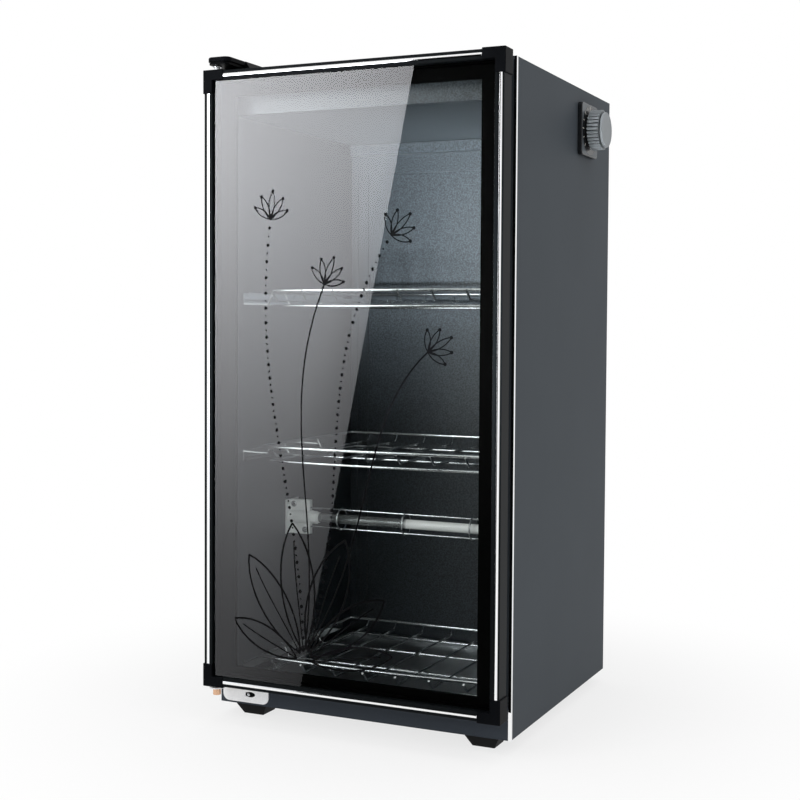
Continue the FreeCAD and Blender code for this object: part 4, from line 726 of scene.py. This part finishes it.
class STERILIZER_OT_print(Build, bpy.types.Operator):
    """Leaf pattern in black enamel on the front of the glass"""
    bl_idname = "sterilizer.print"
    bl_label = "Printed leaves"

    PLANE = -31.82
    FILM = 0.12
    # Each broad leaf: foot, tip and half width, in millimetres across and up the door.
    LEAVES = (
        ((122, 74), (58, 176), 17), ((126, 76), (112, 214), 20), ((132, 76), (176, 200), 21),
        ((134, 72), (222, 140), 17), ((118, 68), (40, 104), 13), ((136, 66), (232, 82), 12),
    )
    # Each stem: four control points and whether it is drawn as dots.
    STEMS = (
        ((128, 80), (150, 230), (90, 330), (150, 470), False),
        ((130, 80), (190, 250), (130, 380), (228, 520), True),
        ((132, 80), (215, 210), (190, 330), (270, 400), False),
        ((126, 82), (120, 260), (60, 350), (84, 540), True),
    )
    # Each sprig: where it sits and the direction in degrees in which it opens.
    SPRIGS = ((150, 470, 68), (270, 400, 30), (228, 520, 45), (84, 540, 84))
    # Each sprig's leaves turn so far from its direction, and shorten as they do.
    FAN = (-62, -30, 0, 30, 62)
    SPRIG_LEAF, SHORTER, SPRIG_HALF = 30, 0.12, 3.2
    # How far a leaf's side bulges at its control points, for each unit of half width.
    BULGE = 1.35

    def line(self, points, width):
        return wire("line", [Vector((x, self.PLANE, z)) for x, z in points], width, sides=1)

    def leaf(self, foot, tip, half, width, vein=False):
        foot, tip = Vector(foot), Vector(tip)
        along = tip - foot
        across = Vector((-along.y, along.x)).normalized() * half * self.BULGE
        curves = [(foot, foot + along * 0.3 + across * way, foot + along * 0.75 + across * way, tip, 14)
                  for way in (1, -1)]
        made = [self.line(bezier(*curve), width) for curve in curves]
        if vein:
            curve = foot, foot + along * 0.3, foot + along * 0.6 + across * 0.12, foot + along * 0.86, 8
            made.append(self.line(bezier(*curve), width * 0.7))
        return made

    def dot(self, x, z, radius):
        half = self.FILM / 2
        return rod("dot", (x, self.PLANE - half, z), (x, self.PLANE + half, z), radius, 10)

    def build(self, sizes):
        width = sizes.print_line / MM
        made = []
        for foot, tip, half in self.LEAVES:
            made += self.leaf(foot, tip, half, width, vein=True)
        for *curve, dotted in self.STEMS:
            if dotted:
                # Small and large dots take turns.
                made += [self.dot(x, z, width * (0.45 + 0.35 * (i % 2)))
                         for i, (x, z) in enumerate(bezier(*curve, 60))]
            else:
                made.append(self.line(bezier(*curve, 24), width * 0.85))
        for x, z, turn in self.SPRIGS:
            for spread in self.FAN:
                angle = math.radians(turn + spread)
                reach = self.SPRIG_LEAF - abs(spread) * self.SHORTER
                tip = (x + reach * math.cos(angle), z + reach * math.sin(angle))
                made += self.leaf((x, z), tip, self.SPRIG_HALF, width * 0.6)
                made.append(self.dot(*tip, width * 0.8))
        piece = joined("printed_leaves", made)
        pick(piece)
        scaled((1, self.FILM / width, 1), (0, self.PLANE, 0))
        placed(shade(piece), "door", "border_black", finish="print_ink")


class STERILIZER_OT_hinges(Build, bpy.types.Operator):
    """Upper arm with its cover, lower plate, pins and bushes"""
    bl_idname = "sterilizer.hinges"
    bl_label = "Hinges"

    PLATE_SHEET = 2
    # The black oval, painted shade in the slot's hollow: its half height, how much longer it is, and how
    # far it stands out and in.
    WASHER = 2.9
    OVAL = 2.1
    PROUD, SUNK = 0.35, 0.1

    def build(self, sizes):
        edge = sizes.sheet_edge
        dressed("hinge_cover_moulded", "hinge_cover_upper", sizes.moulded_edge * 0.7)
        dressed("hinge_arm_pressed", "hinge_arm_upper", edge * 0.4, 2)
        dressed("hinge_plate_pressed", "hinge_plate_lower", edge * 0.6)
        for node in ("hinge_pin_upper", "hinge_pin_lower"):
            dressed(f"{node}_turned", node, edge * 0.4, 2)
        left_bare("hinge_bushes")
        self.washer()

    def washer(self):
        """A black oval over the slot of the lower plate, under its screw, that paints the shade in the
        slot's hollow.
        """
        low, high = limits("hinge_screws")
        middle = Vector((high.x - SCREW_HEAD + 2, -self.PLATE_SHEET, low.z + SCREW_HEAD))
        piece = rod("hinge_washer_oval", middle - Vector((0, self.PROUD, 0)),
                    middle + Vector((0, self.SUNK, 0)), self.WASHER, 40)
        pick(piece)
        scaled((self.OVAL, 1, 1), middle)
        placed(soften(piece, 0.1 * MM, 2), "cabinet", "hinge_black")


class STERILIZER_OT_timer(Build, bpy.types.Operator):
    """Timer plate with its dial marks, ribbed knob, shaft and case"""
    bl_idname = "sterilizer.timer"
    bl_label = "Timer"

    # Where the ribbed skirt starts and ends and where the cap starts, from the plate.
    SKIRT = (2.6, 15.6)
    CAP = 17.0
    # Radii of the neck and the cap, as shares of the skirt's.
    NECK_SHARE, CAP_SHARE = 0.8, 0.87
    # Flat rims round the faces of the skirt and the cap, and how deep the cap's face is sunk.
    SKIRT_RIM, CAP_RIM, CAP_SUNK = 1.3, 1.6, 0.6
    # Half length of the long and the short dial marks, half their width, and their angles.
    MARKS = (2.2, 1.4)
    MARK_HALF = 0.6
    FIRST_MARK, MARK_STEP, MARK_COUNT = 225, 22.5, 13
    DISC_RIM = 2.6

    def build(self, sizes):
        plate = dressed("timer_plate_moulded", "timer_bezel", sizes.moulded_edge * 0.7, 4)
        # Only the plate's front face is slate grey; its sides stay dark as painted shade.
        repainted(plate, "bezel_face", lambda middle, normal: normal.x > 0.99)
        left_bare("timer_case", "timer_shaft")
        self.knob(sizes)
        self.dial(sizes)

    def knob(self, sizes):
        """A ribbed skirt on a short collar, a black neck and a smooth cap with a sunk face. The floors of
        the grooves take the black as painted shade.
        """
        start, end, centre, outer = axle("timer_knob")
        ribs = sizes.knob_ribs
        depth = sizes.rib_depth / MM
        first, last = self.SKIRT

        def groove(middle, normal):
            turn = math.atan2(middle.z - centre.z, middle.y - centre.y) / (2 * math.pi) * ribs * 4
            return int(round(turn)) % 4 in (2, 3)

        def dark(middle, normal):
            """The collar and the neck, and the floors of the grooves, where the black is painted shade.
            """
            radius = (middle.yz - centre.yz).length
            across = middle.x - start
            return (across < first - 0.1 or last + 0.1 < across < self.CAP - 0.1
                    or (abs(normal.x) < 0.3 and first < across < last and radius < outer - depth * 0.8))

        skirt = lathed("timer_knob_ribbed", start + first, start + last, centre, outer, ribs * 4)
        pick(skirt, test=groove)
        shrink = 1 - depth / outer
        scaled((1, shrink, shrink), centre)
        pick(skirt, "FACE", lambda middle, normal: abs(normal.x) > 0.9)
        bpy.ops.mesh.inset(thickness=self.SKIRT_RIM * MM)
        bpy.ops.mesh.extrude_region_move()
        scaled((1, 0.96, 0.96), centre)
        shade(skirt, 50)
        neck = shade(lathed("neck", start, start + self.CAP + 0.4, centre, outer * self.NECK_SHARE, 96))
        cap = lathed("cap", start + self.CAP, end, centre, outer * self.CAP_SHARE, 96)
        pick(cap, "FACE", lambda middle, normal: normal.x > 0.9)
        bpy.ops.mesh.inset(thickness=self.CAP_RIM * MM)
        bpy.ops.transform.translate(value=(-self.CAP_SUNK * MM, 0, 0))
        soften(cap, sizes.sheet_edge * 0.6, 3, 25)
        piece = joined("timer_knob_ribbed", [skirt, neck, cap])
        # The collar, the neck and the groove floors take the black; in the grooves it is painted shade.
        repainted(placed(piece, "timer_knob", "knob_grey", "timer_knob"), "bezel_black", dark)

    def dial(self, sizes):
        """Marks round the knob, every other one long, on a dark disc."""
        face, centre = axle("timer_bezel")[1:3]
        ring = sizes.dial_ring / MM
        made = []
        for i in range(self.MARK_COUNT):
            angle = math.radians(self.FIRST_MARK - i * self.MARK_STEP)
            half = self.MARKS[i % 2]
            middle = Vector((face, centre.y + ring * math.cos(angle), centre.z + ring * math.sin(angle)))
            mark = cube("mark", middle - Vector((0.05, half, self.MARK_HALF)),
                        middle + Vector((0.2, half, self.MARK_HALF)))
            pick(mark)
            bpy.ops.transform.rotate(value=-angle, orient_axis="X", center_override=at(*middle))
            made.append(mark)
        placed(shade(joined("dial_marks", made)), "cabinet", "knob_grey", finish="terminal_white")
        disc = lathed("dial_disc", face - 0.2, face + 0.12, centre, ring + self.DISC_RIM, 96)
        placed(soften(disc, 0.05 * MM, 2), "cabinet", "bezel_black")


class STERILIZER_OT_heater(Build, bpy.types.Operator):
    """Holders, brackets, collars, quartz tube with its coil, and the guard"""
    bl_idname = "sterilizer.heater"
    bl_label = "Heater"

    PLATE = 6
    SADDLE = 16.5
    # A dimple's radius and height. Each one: shares of the plate's width and half height, and how
    # far in front of the plate's middle its face is.
    DIMPLE, DIMPLE_OUT = 1.3, 0.35
    DIMPLES = ((0.28, 0.8, PLATE / 2), (-0.25, -0.75, PLATE / 2), (0.3, 0.05, SADDLE / 2))
    # Each part of a collar: where it starts and ends, how much thinner it is than the collar,
    # its sides, and the share and the segments of its rounding.
    COLLAR = (("bead", 0, 3, 0.4, 48, 0.9, 4), ("nut", 2.6, 10.4, 0.8, 6, 0.7, 3),
              ("ring", 10.2, 12.8, 2.4, 48, 0.5, 3))
    # The nut's two slots: middle along the tube, half length, depth, height from the axis, half width.
    SLOT_AT, SLOT_HALF, SLOT_DEEP, SLOT_UP, SLOT_THIN = 6.6, 3, 3.2, 4.2, 0.5
    TUBE_WALL = 1.2
    COIL = 2.6
    COIL_PITCH = 2.6
    COIL_SIDES = 8
    COIL_WIRE = 0.7
    COIL_INSET = 30
    GUARD_WIRE = 2
    GUARD_RINGS = 3
    RING_SIDES = 36

    def build(self, sizes):
        for side, hand in (("left", 1), ("right", -1)):
            self.holder(sizes, f"tube_holder_{side}", hand)
        self.collars(sizes)
        self.tube()
        self.guard()
        dressed("holder_brackets_pressed", "holder_angles", sizes.sheet_edge * 0.3, 2)

    def holder(self, sizes, node, hand):
        """A pressed plate with rounded corners, a half-round saddle across it and three dimples."""
        low, high = limits(node)
        middle = (low + high) / 2
        edge = sizes.moulded_edge * 0.6
        plate = cube("plate", (low.x, middle.y - self.PLATE / 2, low.z),
                     (high.x, middle.y + self.PLATE / 2, high.z))
        pick(plate, "EDGE", lambda place, along: abs(along.y) > 0.9)
        bpy.ops.mesh.bevel(offset=sizes.moulded_edge * 1.6, segments=5, affect="EDGES")
        made = [soften(plate, edge),
                soften(lathed("saddle", low.x, high.x, middle, self.SADDLE / 2, 64), edge)]
        for across, up, front in self.DIMPLES:
            x = middle.x + hand * across * (high.x - low.x)
            z = middle.z + up * (high.z - low.z) / 2
            face = middle.y - front
            dimple = rod("dimple", (x, face - self.DIMPLE_OUT, z), (x, face + 0.6, z), self.DIMPLE, 20)
            made.append(soften(dimple, sizes.sheet_edge * 0.35))
        placed(joined(node + "_pressed", made), "cabinet", "holder_ceramic", node)

    def collars(self, sizes):
        """On each end of the tube a round bead, a six-sided nut with two slots, and a thin ring."""
        start, end, middle, outer = axle("tube_collars")
        made = []
        for x, way in ((start, 1), (end, -1)):
            for name, near, far, thinner, sides, share, segments in self.COLLAR:
                part = lathed(name, x + way * near, x + way * far, middle, outer - thinner, sides)
                made.append(soften(part, sizes.moulded_edge * share, segments))
                if name == "nut":
                    carve(part, self.slots(x + way * self.SLOT_AT, middle, outer))
        placed(joined("tube_collars_pressed", made), "cabinet", "holder_ceramic", "tube_collars")

    def slots(self, x, middle, outer):
        front = middle.y - outer
        return joined("slots", [cube("slot", (x - self.SLOT_HALF, front, z - self.SLOT_THIN),
                                     (x + self.SLOT_HALF, front + self.SLOT_DEEP, z + self.SLOT_THIN))
                                for z in (middle.z - self.SLOT_UP, middle.z + self.SLOT_UP)])

    def tube(self):
        """A hollow tube and the coil of resistance wire inside it."""
        start, end, middle, outer = axle("heater_tube")
        tube = lathed("quartz_tube", start, end, middle, outer, 64)
        pick(tube, "FACE", lambda place, normal: abs(normal.x) > 0.9)
        bpy.ops.mesh.inset(thickness=self.TUBE_WALL * MM)
        bpy.ops.mesh.bridge_edge_loops()
        placed(shade(tube), "cabinet", "quartz", "heater_tube")
        first = start + self.COIL_INSET
        step = self.COIL_PITCH / self.COIL_SIDES
        path = []
        for i in range(int((end - start - 2 * self.COIL_INSET) / step) + 1):
            angle = i * 2 * math.pi / self.COIL_SIDES
            y, z = self.COIL * math.cos(angle), self.COIL * math.sin(angle)
            path.append(Vector((first + i * step, middle.y + y, middle.z + z)))
        coil = wire("resistance_coil", path, self.COIL_WIRE, sides=0)
        placed(shade(coil, 60), "cabinet", "pin_steel")

    def guard(self):
        """Two rails along the tube, and rings round them that touch the rails from outside."""
        start, end, middle, outer = axle("heater_guard")
        reach = outer - self.GUARD_WIRE / 2
        rail = reach - self.GUARD_WIRE + 0.4
        made = [wire("rail", [Vector((x, middle.y, z)) for x in (start, end)], self.GUARD_WIRE)
                for z in (middle.z - rail, middle.z + rail)]
        angles = [2 * math.pi * i / self.RING_SIDES for i in range(self.RING_SIDES)]
        for i in range(self.GUARD_RINGS):
            x = start + (end - start) * (i + 0.5) / self.GUARD_RINGS
            ring = [Vector((x, middle.y + reach * math.sin(a), middle.z + reach * math.cos(a)))
                    for a in angles]
            made.append(wire("ring", ring, self.GUARD_WIRE, closed=True))
        placed(shade(joined("heater_guard_wire", made), 60), "cabinet", "chrome_wire", "heater_guard")


class STERILIZER_OT_racks(Build, bpy.types.Operator):
    """Three welded wire racks, modelled once and copied"""
    bl_idname = "sterilizer.racks"
    bl_label = "Racks"

    # Thicknesses of the rim, of the lower loop and of the wires between them.
    RIM, LOOP, ROD = 4, 3.2, 2.6
    # The lower loop hangs so far below the rim, and lies so far inside it.
    DROP = 17
    TAPER = 9
    BOW = 8
    BOW_STEPS = 5
    CORNER_BEND = 12
    PITCH = 39
    # The end wires keep this far from the corners, on both sides together.
    MARGIN = 24
    # How far inside the rim's middle the other wires end, and how far below it.
    INSIDE, BELOW = 1.6, 0.6
    # How far the wires run above the lower loop, and the bearers below those wires.
    ABOVE, UNDER = 2.5, 2.2
    # Where the bearers lie between front and back, and their bends from the rim and the lower loop.
    BEARERS = (0.3, 0.62)
    SHOULDER, FOOT = 7.1, 2.4

    def sides(self, inset):
        """Left, right, front corners and back of a loop that lies so far inside the rim."""
        low, high = limits("rack_upper")
        edge = self.RIM / 2 + inset
        return low.x + edge, high.x - edge, low.y + edge + self.BOW, high.y - edge

    def front(self, x, inset):
        """The place of a loop's bowed front wire at a distance from its middle."""
        left, right, front, _ = self.sides(inset)
        return front - self.BOW * (1 - (2 * x / (right - left)) ** 2)

    def loop(self, name, inset, z, thickness):
        """A rim or floor loop: three straight sides and a front that bows forward."""
        left, right, front, back = self.sides(inset)
        middle, half = (left + right) / 2, (right - left) / 2
        steps = [half * i / self.BOW_STEPS for i in range(self.BOW_STEPS - 1, -self.BOW_STEPS, -1)]
        corners = [(left, front, z), (left, back, z), (right, back, z), (right, front, z)]
        path = rounded(corners + [(middle + x, self.front(x, inset), z) for x in steps],
                       self.CORNER_BEND, closed=True, steps=6)
        return wire(name, path, thickness, closed=True)

    def build(self, sizes):
        bend = sizes.wire_bend / MM
        top = limits("rack_upper")[1].z
        rim = top - self.RIM / 2
        floor = rim - self.DROP
        made = [self.loop("rim", 0, rim, self.RIM), self.loop("loop", self.TAPER, floor, self.LOOP)]
        left, right, front, back = self.sides(0)
        middle = (left + right) / 2
        level = floor + self.ABOVE
        count = int((right - left - self.MARGIN - 2 * self.TAPER) / self.PITCH)
        for i in range(count + 1):
            x = (i - count / 2) * self.PITCH
            hooked = rim - self.BELOW
            places = ((self.front(x, 0) + self.INSIDE, hooked), (self.front(x, self.TAPER), level),
                      (back - self.TAPER, level), (back - self.INSIDE, hooked))
            path = [(middle + x, y, z) for y, z in places]
            made.append(wire("upright", rounded(path, bend), self.ROD))
        for share in self.BEARERS:
            y = front + (back - front) * share
            half = [(self.INSIDE, rim), (self.SHOULDER, rim),
                    (self.TAPER + self.FOOT, level - self.UNDER)]
            path = [(left + x, y, z) for x, z in half] + [(right - x, y, z) for x, z in reversed(half)]
            made.append(wire("bearer", rounded(path, bend * 0.5), self.ROD))
        first = shade(joined("rack_upper_wires", made), 60)
        racks = {"rack_upper": first}
        for node in ("rack_middle", "rack_lower"):
            racks[node] = twin(first, node + "_wires", (0, 0, limits(node)[1].z - top))
        for node, piece in racks.items():
            placed(piece, body_of(node), "chrome_wire", node)


class STERILIZER_OT_screws(Build, bpy.types.Operator):
    """Pan-head screws with a cross recess, modelled once and copied"""
    bl_idname = "sterilizer.screws"
    bl_label = "Screws"

    # Which way the screws of each node face. Those of the hinges face forward or up.
    WAYS = {"back_screws": BACK, "foot_screws": DOWN, "holder_screws": FRONT, "hinge_screws": None}
    HEAD_HIGH = 2.2
    HEAD_ROUND = 1.5
    # The cross: half length, half width and depth of its foot.
    CROSS, CROSS_THIN, CROSS_FOOT = 1.9, 0.35, 1.2
    SHANK = 1.9
    # How far a head's seat lies inside the node's outer face.
    SEAT = 2.4
    # The screw in the black oval of the lower hinge, which paints the slot's shade, is half the size of
    # the others.
    SMALL = 0.5
    # Each screw is turned so much further than the one before, in radians.
    SPIN = 0.7

    def master(self):
        """A screw at the corner of the frame, its head up."""
        head = rod("head", (0, 0, -0.2), (0, 0, self.HEAD_HIGH), SCREW_HEAD, 28)
        pick(head, "EDGE", lambda place, along: place.z > 2 and abs(along.z) < 0.1)
        bpy.ops.mesh.bevel(offset=self.HEAD_ROUND * MM, segments=4, affect="EDGES")
        carve(head, joined("cross", [cube("blade", (-x, -y, self.CROSS_FOOT), (x, y, 4)) for x, y in
                                     ((self.CROSS, self.CROSS_THIN), (self.CROSS_THIN, self.CROSS))]))
        shank = rod("shank", (0, 0, -6), (0, 0, 0), self.SHANK, 16)
        return shade(joined("screw", [head, shank]), 40)

    def build(self, sizes):
        master = self.master()
        for node, way in self.WAYS.items():
            made = []
            for count, (seat, axis) in enumerate(self.seats(node, way)):
                copy = twin(master, "screw")
                turn = Vector(axis).to_track_quat("Z", "Y") @ Quaternion(UP, count * self.SPIN)
                size = self.SMALL if way is None and axis == FRONT else 1
                copy.data.transform(Matrix.LocRotScale(at(*seat), turn, Vector((size,) * 3))
                                    @ Matrix.Translation(-CORNER))
                made.append(copy)
            placed(joined(node + "_plated", made), body_of(node), SLOT_OF[node], node)
        bpy.data.objects.remove(master)

    def seats(self, node, way):
        """Each screw's seat, found from the loose parts of its node, and which way it faces."""
        pick(taken("seats", node))
        bpy.ops.mesh.separate(type="LOOSE")
        settle()
        found = []
        for piece in [o for o in bpy.context.scene.objects if o.name.split(".")[0] == "seats"]:
            points = [(v.co - CORNER) / MM for v in piece.data.vertices]
            low, high = (Vector(end(p[i] for p in points) for i in range(3)) for end in (min, max))
            size = high - low
            axis = way or (FRONT if size.y > size.z else UP)
            depth = abs(size.dot(Vector(axis))) / 2 - self.SEAT
            found.append((tuple((low + high) / 2 + Vector(axis) * depth), axis))
            bpy.data.objects.remove(piece)
        return sorted(found)


class STERILIZER_OT_services(Build, bpy.types.Operator):
    """Cord entry, terminal block and thermostat"""
    bl_idname = "sterilizer.services"
    bl_label = "Electrical parts"

    def build(self, sizes):
        dressed("cord_gland_moulded", "cord_gland", sizes.sheet_edge * 0.5)
        dressed("terminal_block_moulded", "terminal_block", sizes.sheet_edge * 0.6)
        dressed("thermostat_pressed", "thermostat", sizes.sheet_edge * 0.4)


# ---------------------------------------------------------------- the studio

def seen(tree):
    """One for rays that are looked along: those from the camera, off a mirror or through glass."""
    rays = add(tree, "LightPath")
    found = (rays, "Is Camera Ray")
    for ray in ("Is Glossy Ray", "Is Transmission Ray"):
        found = (add(tree, "Math", found, (rays, ray), operation="MAXIMUM"), "Value")
    return found


class STERILIZER_OT_stage(Build, bpy.types.Operator):
    """Camera, pale floor, soft lamps and the card that the glass mirrors"""
    bl_idname = "sterilizer.stage"
    bl_label = "Studio"

    EYE = (835.3, -1301.9, 431.1)
    YAW = 24.39
    PITCH = 2.29
    ROLL = 0.36
    LENS = 61.29
    SHIFT = (-0.0228, -0.0299)
    GLASS = -31.8
    FLOOR_SIZE = 40
    # Metres from the middle between which the floor fades into white, and its share at the start.
    FADE = (0.2, 0.62)
    FADE_LOW = 0.76
    # Each lamp: name, place, aim, size and spread, in metres and degrees.
    LAMPS = (
        ("key", (-0.9, -2.0, 1.7), (0, 0, 0.35), 1.6, 180),
        ("side", (1.7, -0.4, 2.0), (0, 0, 0.35), 1.2, 180),
        ("top", (0.1, 0.1, 2.4), (0, 0, 0.35), 1.6, 180),
        ("chamber", (0.0, -0.75, 0.05), (0.0, 0.05, 0.52), 0.3, 24),
    )
    # The cards lean away from the foot of the glass, and end just past it on every side, so that
    # the bright inlay round it mirrors the white room.
    NEAR, FAR = 120, 900
    CARD_SIDES = (11.5, 341)
    CARD_ENDS = (36, 693)
    # Where the bright card ends and the dark one starts, at their foot and at their head.
    SPLIT = (122, 253)
    CARD_FADE = 0.09
    CARD_ACROSS = (1.25, 0.62)
    CARD_TINT = (0.95, 0.96, 1.0)

    def build(self, sizes):
        stage = bpy.context.scene.sterilizer_stage
        self.camera()
        self.floor(stage)
        self.sky(stage)
        self.cards(stage)
        for name, *values in self.LAMPS:
            self.lamp(name + "_lamp", getattr(stage, name), *values)
        bpy.context.scene.view_settings.view_transform = "Standard"

    def camera(self):
        yaw, pitch, roll = (math.radians(a) for a in (self.YAW, self.PITCH, self.ROLL))
        aim = Euler((math.pi / 2 - pitch, 0, yaw)).to_quaternion() @ Quaternion(UP, roll)
        bpy.ops.object.camera_add(location=at(*self.EYE))
        eye = bpy.context.object
        eye.name = "camera"
        eye.rotation_mode = "QUATERNION"
        eye.rotation_quaternion = aim
        eye.data.lens = self.LENS
        eye.data.shift_x, eye.data.shift_y = self.SHIFT
        eye.data.clip_start = 0.01
        bpy.context.scene.camera = eye

    def floor(self, stage):
        settle()
        bpy.ops.mesh.primitive_plane_add(size=self.FLOOR_SIZE, location=(0, 0, 0))
        floor = bpy.context.object
        floor.name = "studio_floor"
        made, tree, shader = surface("matt_studio_vinyl", Roughness=0.9, Specular_IOR_Level=0.1)
        darker = tuple(c * 0.99 for c in stage.floor)
        place = (add(tree, "TexCoord"), "Object")
        grain = add(tree, "TexNoise", Vector=place, Scale=3.0, Detail=3.0)
        tint = add(tree, "ValToRGB", Fac=(grain, "Fac"), stops=((0.0, darker), (1.0, stage.floor)))
        feed(shader, Base_Color=(tint, "Color"))
        # The floor fades into the white behind it, and keeps the cabinet's shadow near its feet.
        away = add(tree, "VectorMath", place, operation="LENGTH")
        fade = add(tree, "MapRange", Value=(away, "Value"), From_Min=self.FADE[0], From_Max=self.FADE[1],
                   To_Min=self.FADE_LOW, interpolation_type="SMOOTHSTEP")
        share = add(tree, "Math", (fade, "Result"), seen(tree), operation="MULTIPLY")
        white = add(tree, "Emission", Color=(1, 1, 1, 1), Strength=1.0)
        mix = add(tree, "MixShader", (share, "Value"), (shader, "BSDF"), (white, "Emission"))
        feed(tree.nodes["Material Output"], (mix, "Shader"))
        floor.data.materials.append(made)

    def sky(self, stage):
        world = bpy.data.worlds.new("studio_sky")
        world.use_nodes = True
        bpy.context.scene.world = world
        tree = world.node_tree
        soft = feed(tree.nodes["Background"], Color=(1, 1, 1, 1), Strength=stage.sky)
        share = seen(tree)
        white = add(tree, "Background", Color=(1, 1, 1, 1), Strength=1.0)
        mix = add(tree, "MixShader", share, (soft, "Background"), (white, "Background"))
        feed(tree.nodes["World Output"], (mix, "Shader"))

    def mirrored(self, x, z, away):
        """The point that the camera sees in the glass at (x, z), so many millimetres in front of it."""
        eye_x, eye_y, eye_z = self.EYE
        share = away / (self.GLASS - eye_y)
        return (x + (x - eye_x) * share, self.GLASS - away, z + (z - eye_z) * share)

    def cards(self, stage):
        """A bright card that fades towards its foot, and a dark one to the right of it."""
        left, right = self.CARD_SIDES
        foot, head = self.SPLIT
        self.card("reflected_window", ((left, foot), (left, head)), stage.window, self.CARD_FADE)
        self.card("reflected_flag", ((foot, right), (head, right)), 0.0, 1.0)

    def card(self, name, spans, strength, fading):
        """A leaning card that only the glass shows. spans are its left and right, at foot and head."""
        corners = [(x, z, away) for span, z, away in zip(spans, self.CARD_ENDS, (self.NEAR, self.FAR))
                   for x in span]
        settle()
        bpy.ops.mesh.primitive_plane_add(size=1)
        card = started(name)
        for vertex, corner in zip(card.data.vertices, corners):
            vertex.co = at(*self.mirrored(*corner))
        made = bpy.data.materials.new(name)
        made.use_nodes = True
        tree = made.node_tree
        tree.nodes.clear()
        axes = add(tree, "SeparateXYZ", Vector=(add(tree, "TexCoord"), "UV"))
        ramp = add(tree, "MapRange", Value=(axes, "Y"), To_Min=fading * strength, To_Max=strength,
                   interpolation_type="SMOOTHSTEP")
        across = add(tree, "MapRange", Value=(axes, "X"), To_Min=self.CARD_ACROSS[0],
                     To_Max=self.CARD_ACROSS[1])
        both = add(tree, "Math", (ramp, "Result"), (across, "Result"), operation="MULTIPLY")
        lit = add(tree, "Emission", Color=rgba(self.CARD_TINT), Strength=(both, "Value"))
        feed(add(tree, "OutputMaterial"), (lit, "Emission"))
        card.data.materials.append(made)
        for ray in ("camera", "diffuse", "transmission", "shadow", "volume_scatter"):
            setattr(card, "visible_" + ray, False)

    def lamp(self, name, power, place, aim, size, spread):
        settle()
        turn = (Vector(aim) - Vector(place)).to_track_quat("-Z", "Y").to_euler()
        bpy.ops.object.light_add(type="AREA", location=place, rotation=turn)
        lamp = bpy.context.object
        lamp.name = name
        lamp.data.spread = math.radians(spread)
        lamp.data.size = size
        lamp.data.energy = power
        lamp.visible_glossy = False


STEPS = (STERILIZER_OT_shell, STERILIZER_OT_liner, STERILIZER_OT_feet, STERILIZER_OT_door_frame,
         STERILIZER_OT_door_glass, STERILIZER_OT_print, STERILIZER_OT_hinges, STERILIZER_OT_timer,
         STERILIZER_OT_heater, STERILIZER_OT_racks, STERILIZER_OT_screws, STERILIZER_OT_services,
         STERILIZER_OT_stage)
GROUPS = {"sterilizer_sizes": SterilizerSizes, "sterilizer_colours": SterilizerColours,
          "sterilizer_stage": SterilizerStage}


class STERILIZER_PT_panel(bpy.types.Panel):
    """Sidebar panel with the values and the building steps"""
    bl_label = "Dish sterilizer cabinet"
    bl_idname = "STERILIZER_PT_panel"
    bl_space_type = "VIEW_3D"
    bl_region_type = "UI"
    bl_category = "Sterilizer"

    def draw(self, context):
        for group in GROUPS:
            values = getattr(context.scene, group)
            box = self.layout.box()
            for key in values.bl_rna.properties.keys():
                if key not in ("rna_type", "name"):
                    box.prop(values, key)
        for step in STEPS:
            self.layout.operator(step.bl_idname)


def register():
    for kind in (*GROUPS.values(), *STEPS, STERILIZER_PT_panel):
        bpy.utils.register_class(kind)
    for name, kind in GROUPS.items():
        setattr(bpy.types.Scene, name, PointerProperty(type=kind))


def unregister():
    for name in GROUPS:
        delattr(bpy.types.Scene, name)
    for kind in reversed((*GROUPS.values(), *STEPS, STERILIZER_PT_panel)):
        bpy.utils.unregister_class(kind)


def main():
    register()
    for step in STEPS:
        group, name = step.bl_idname.split(".")
        getattr(getattr(bpy.ops, group), name)()


if __name__ == "__main__":
    main()
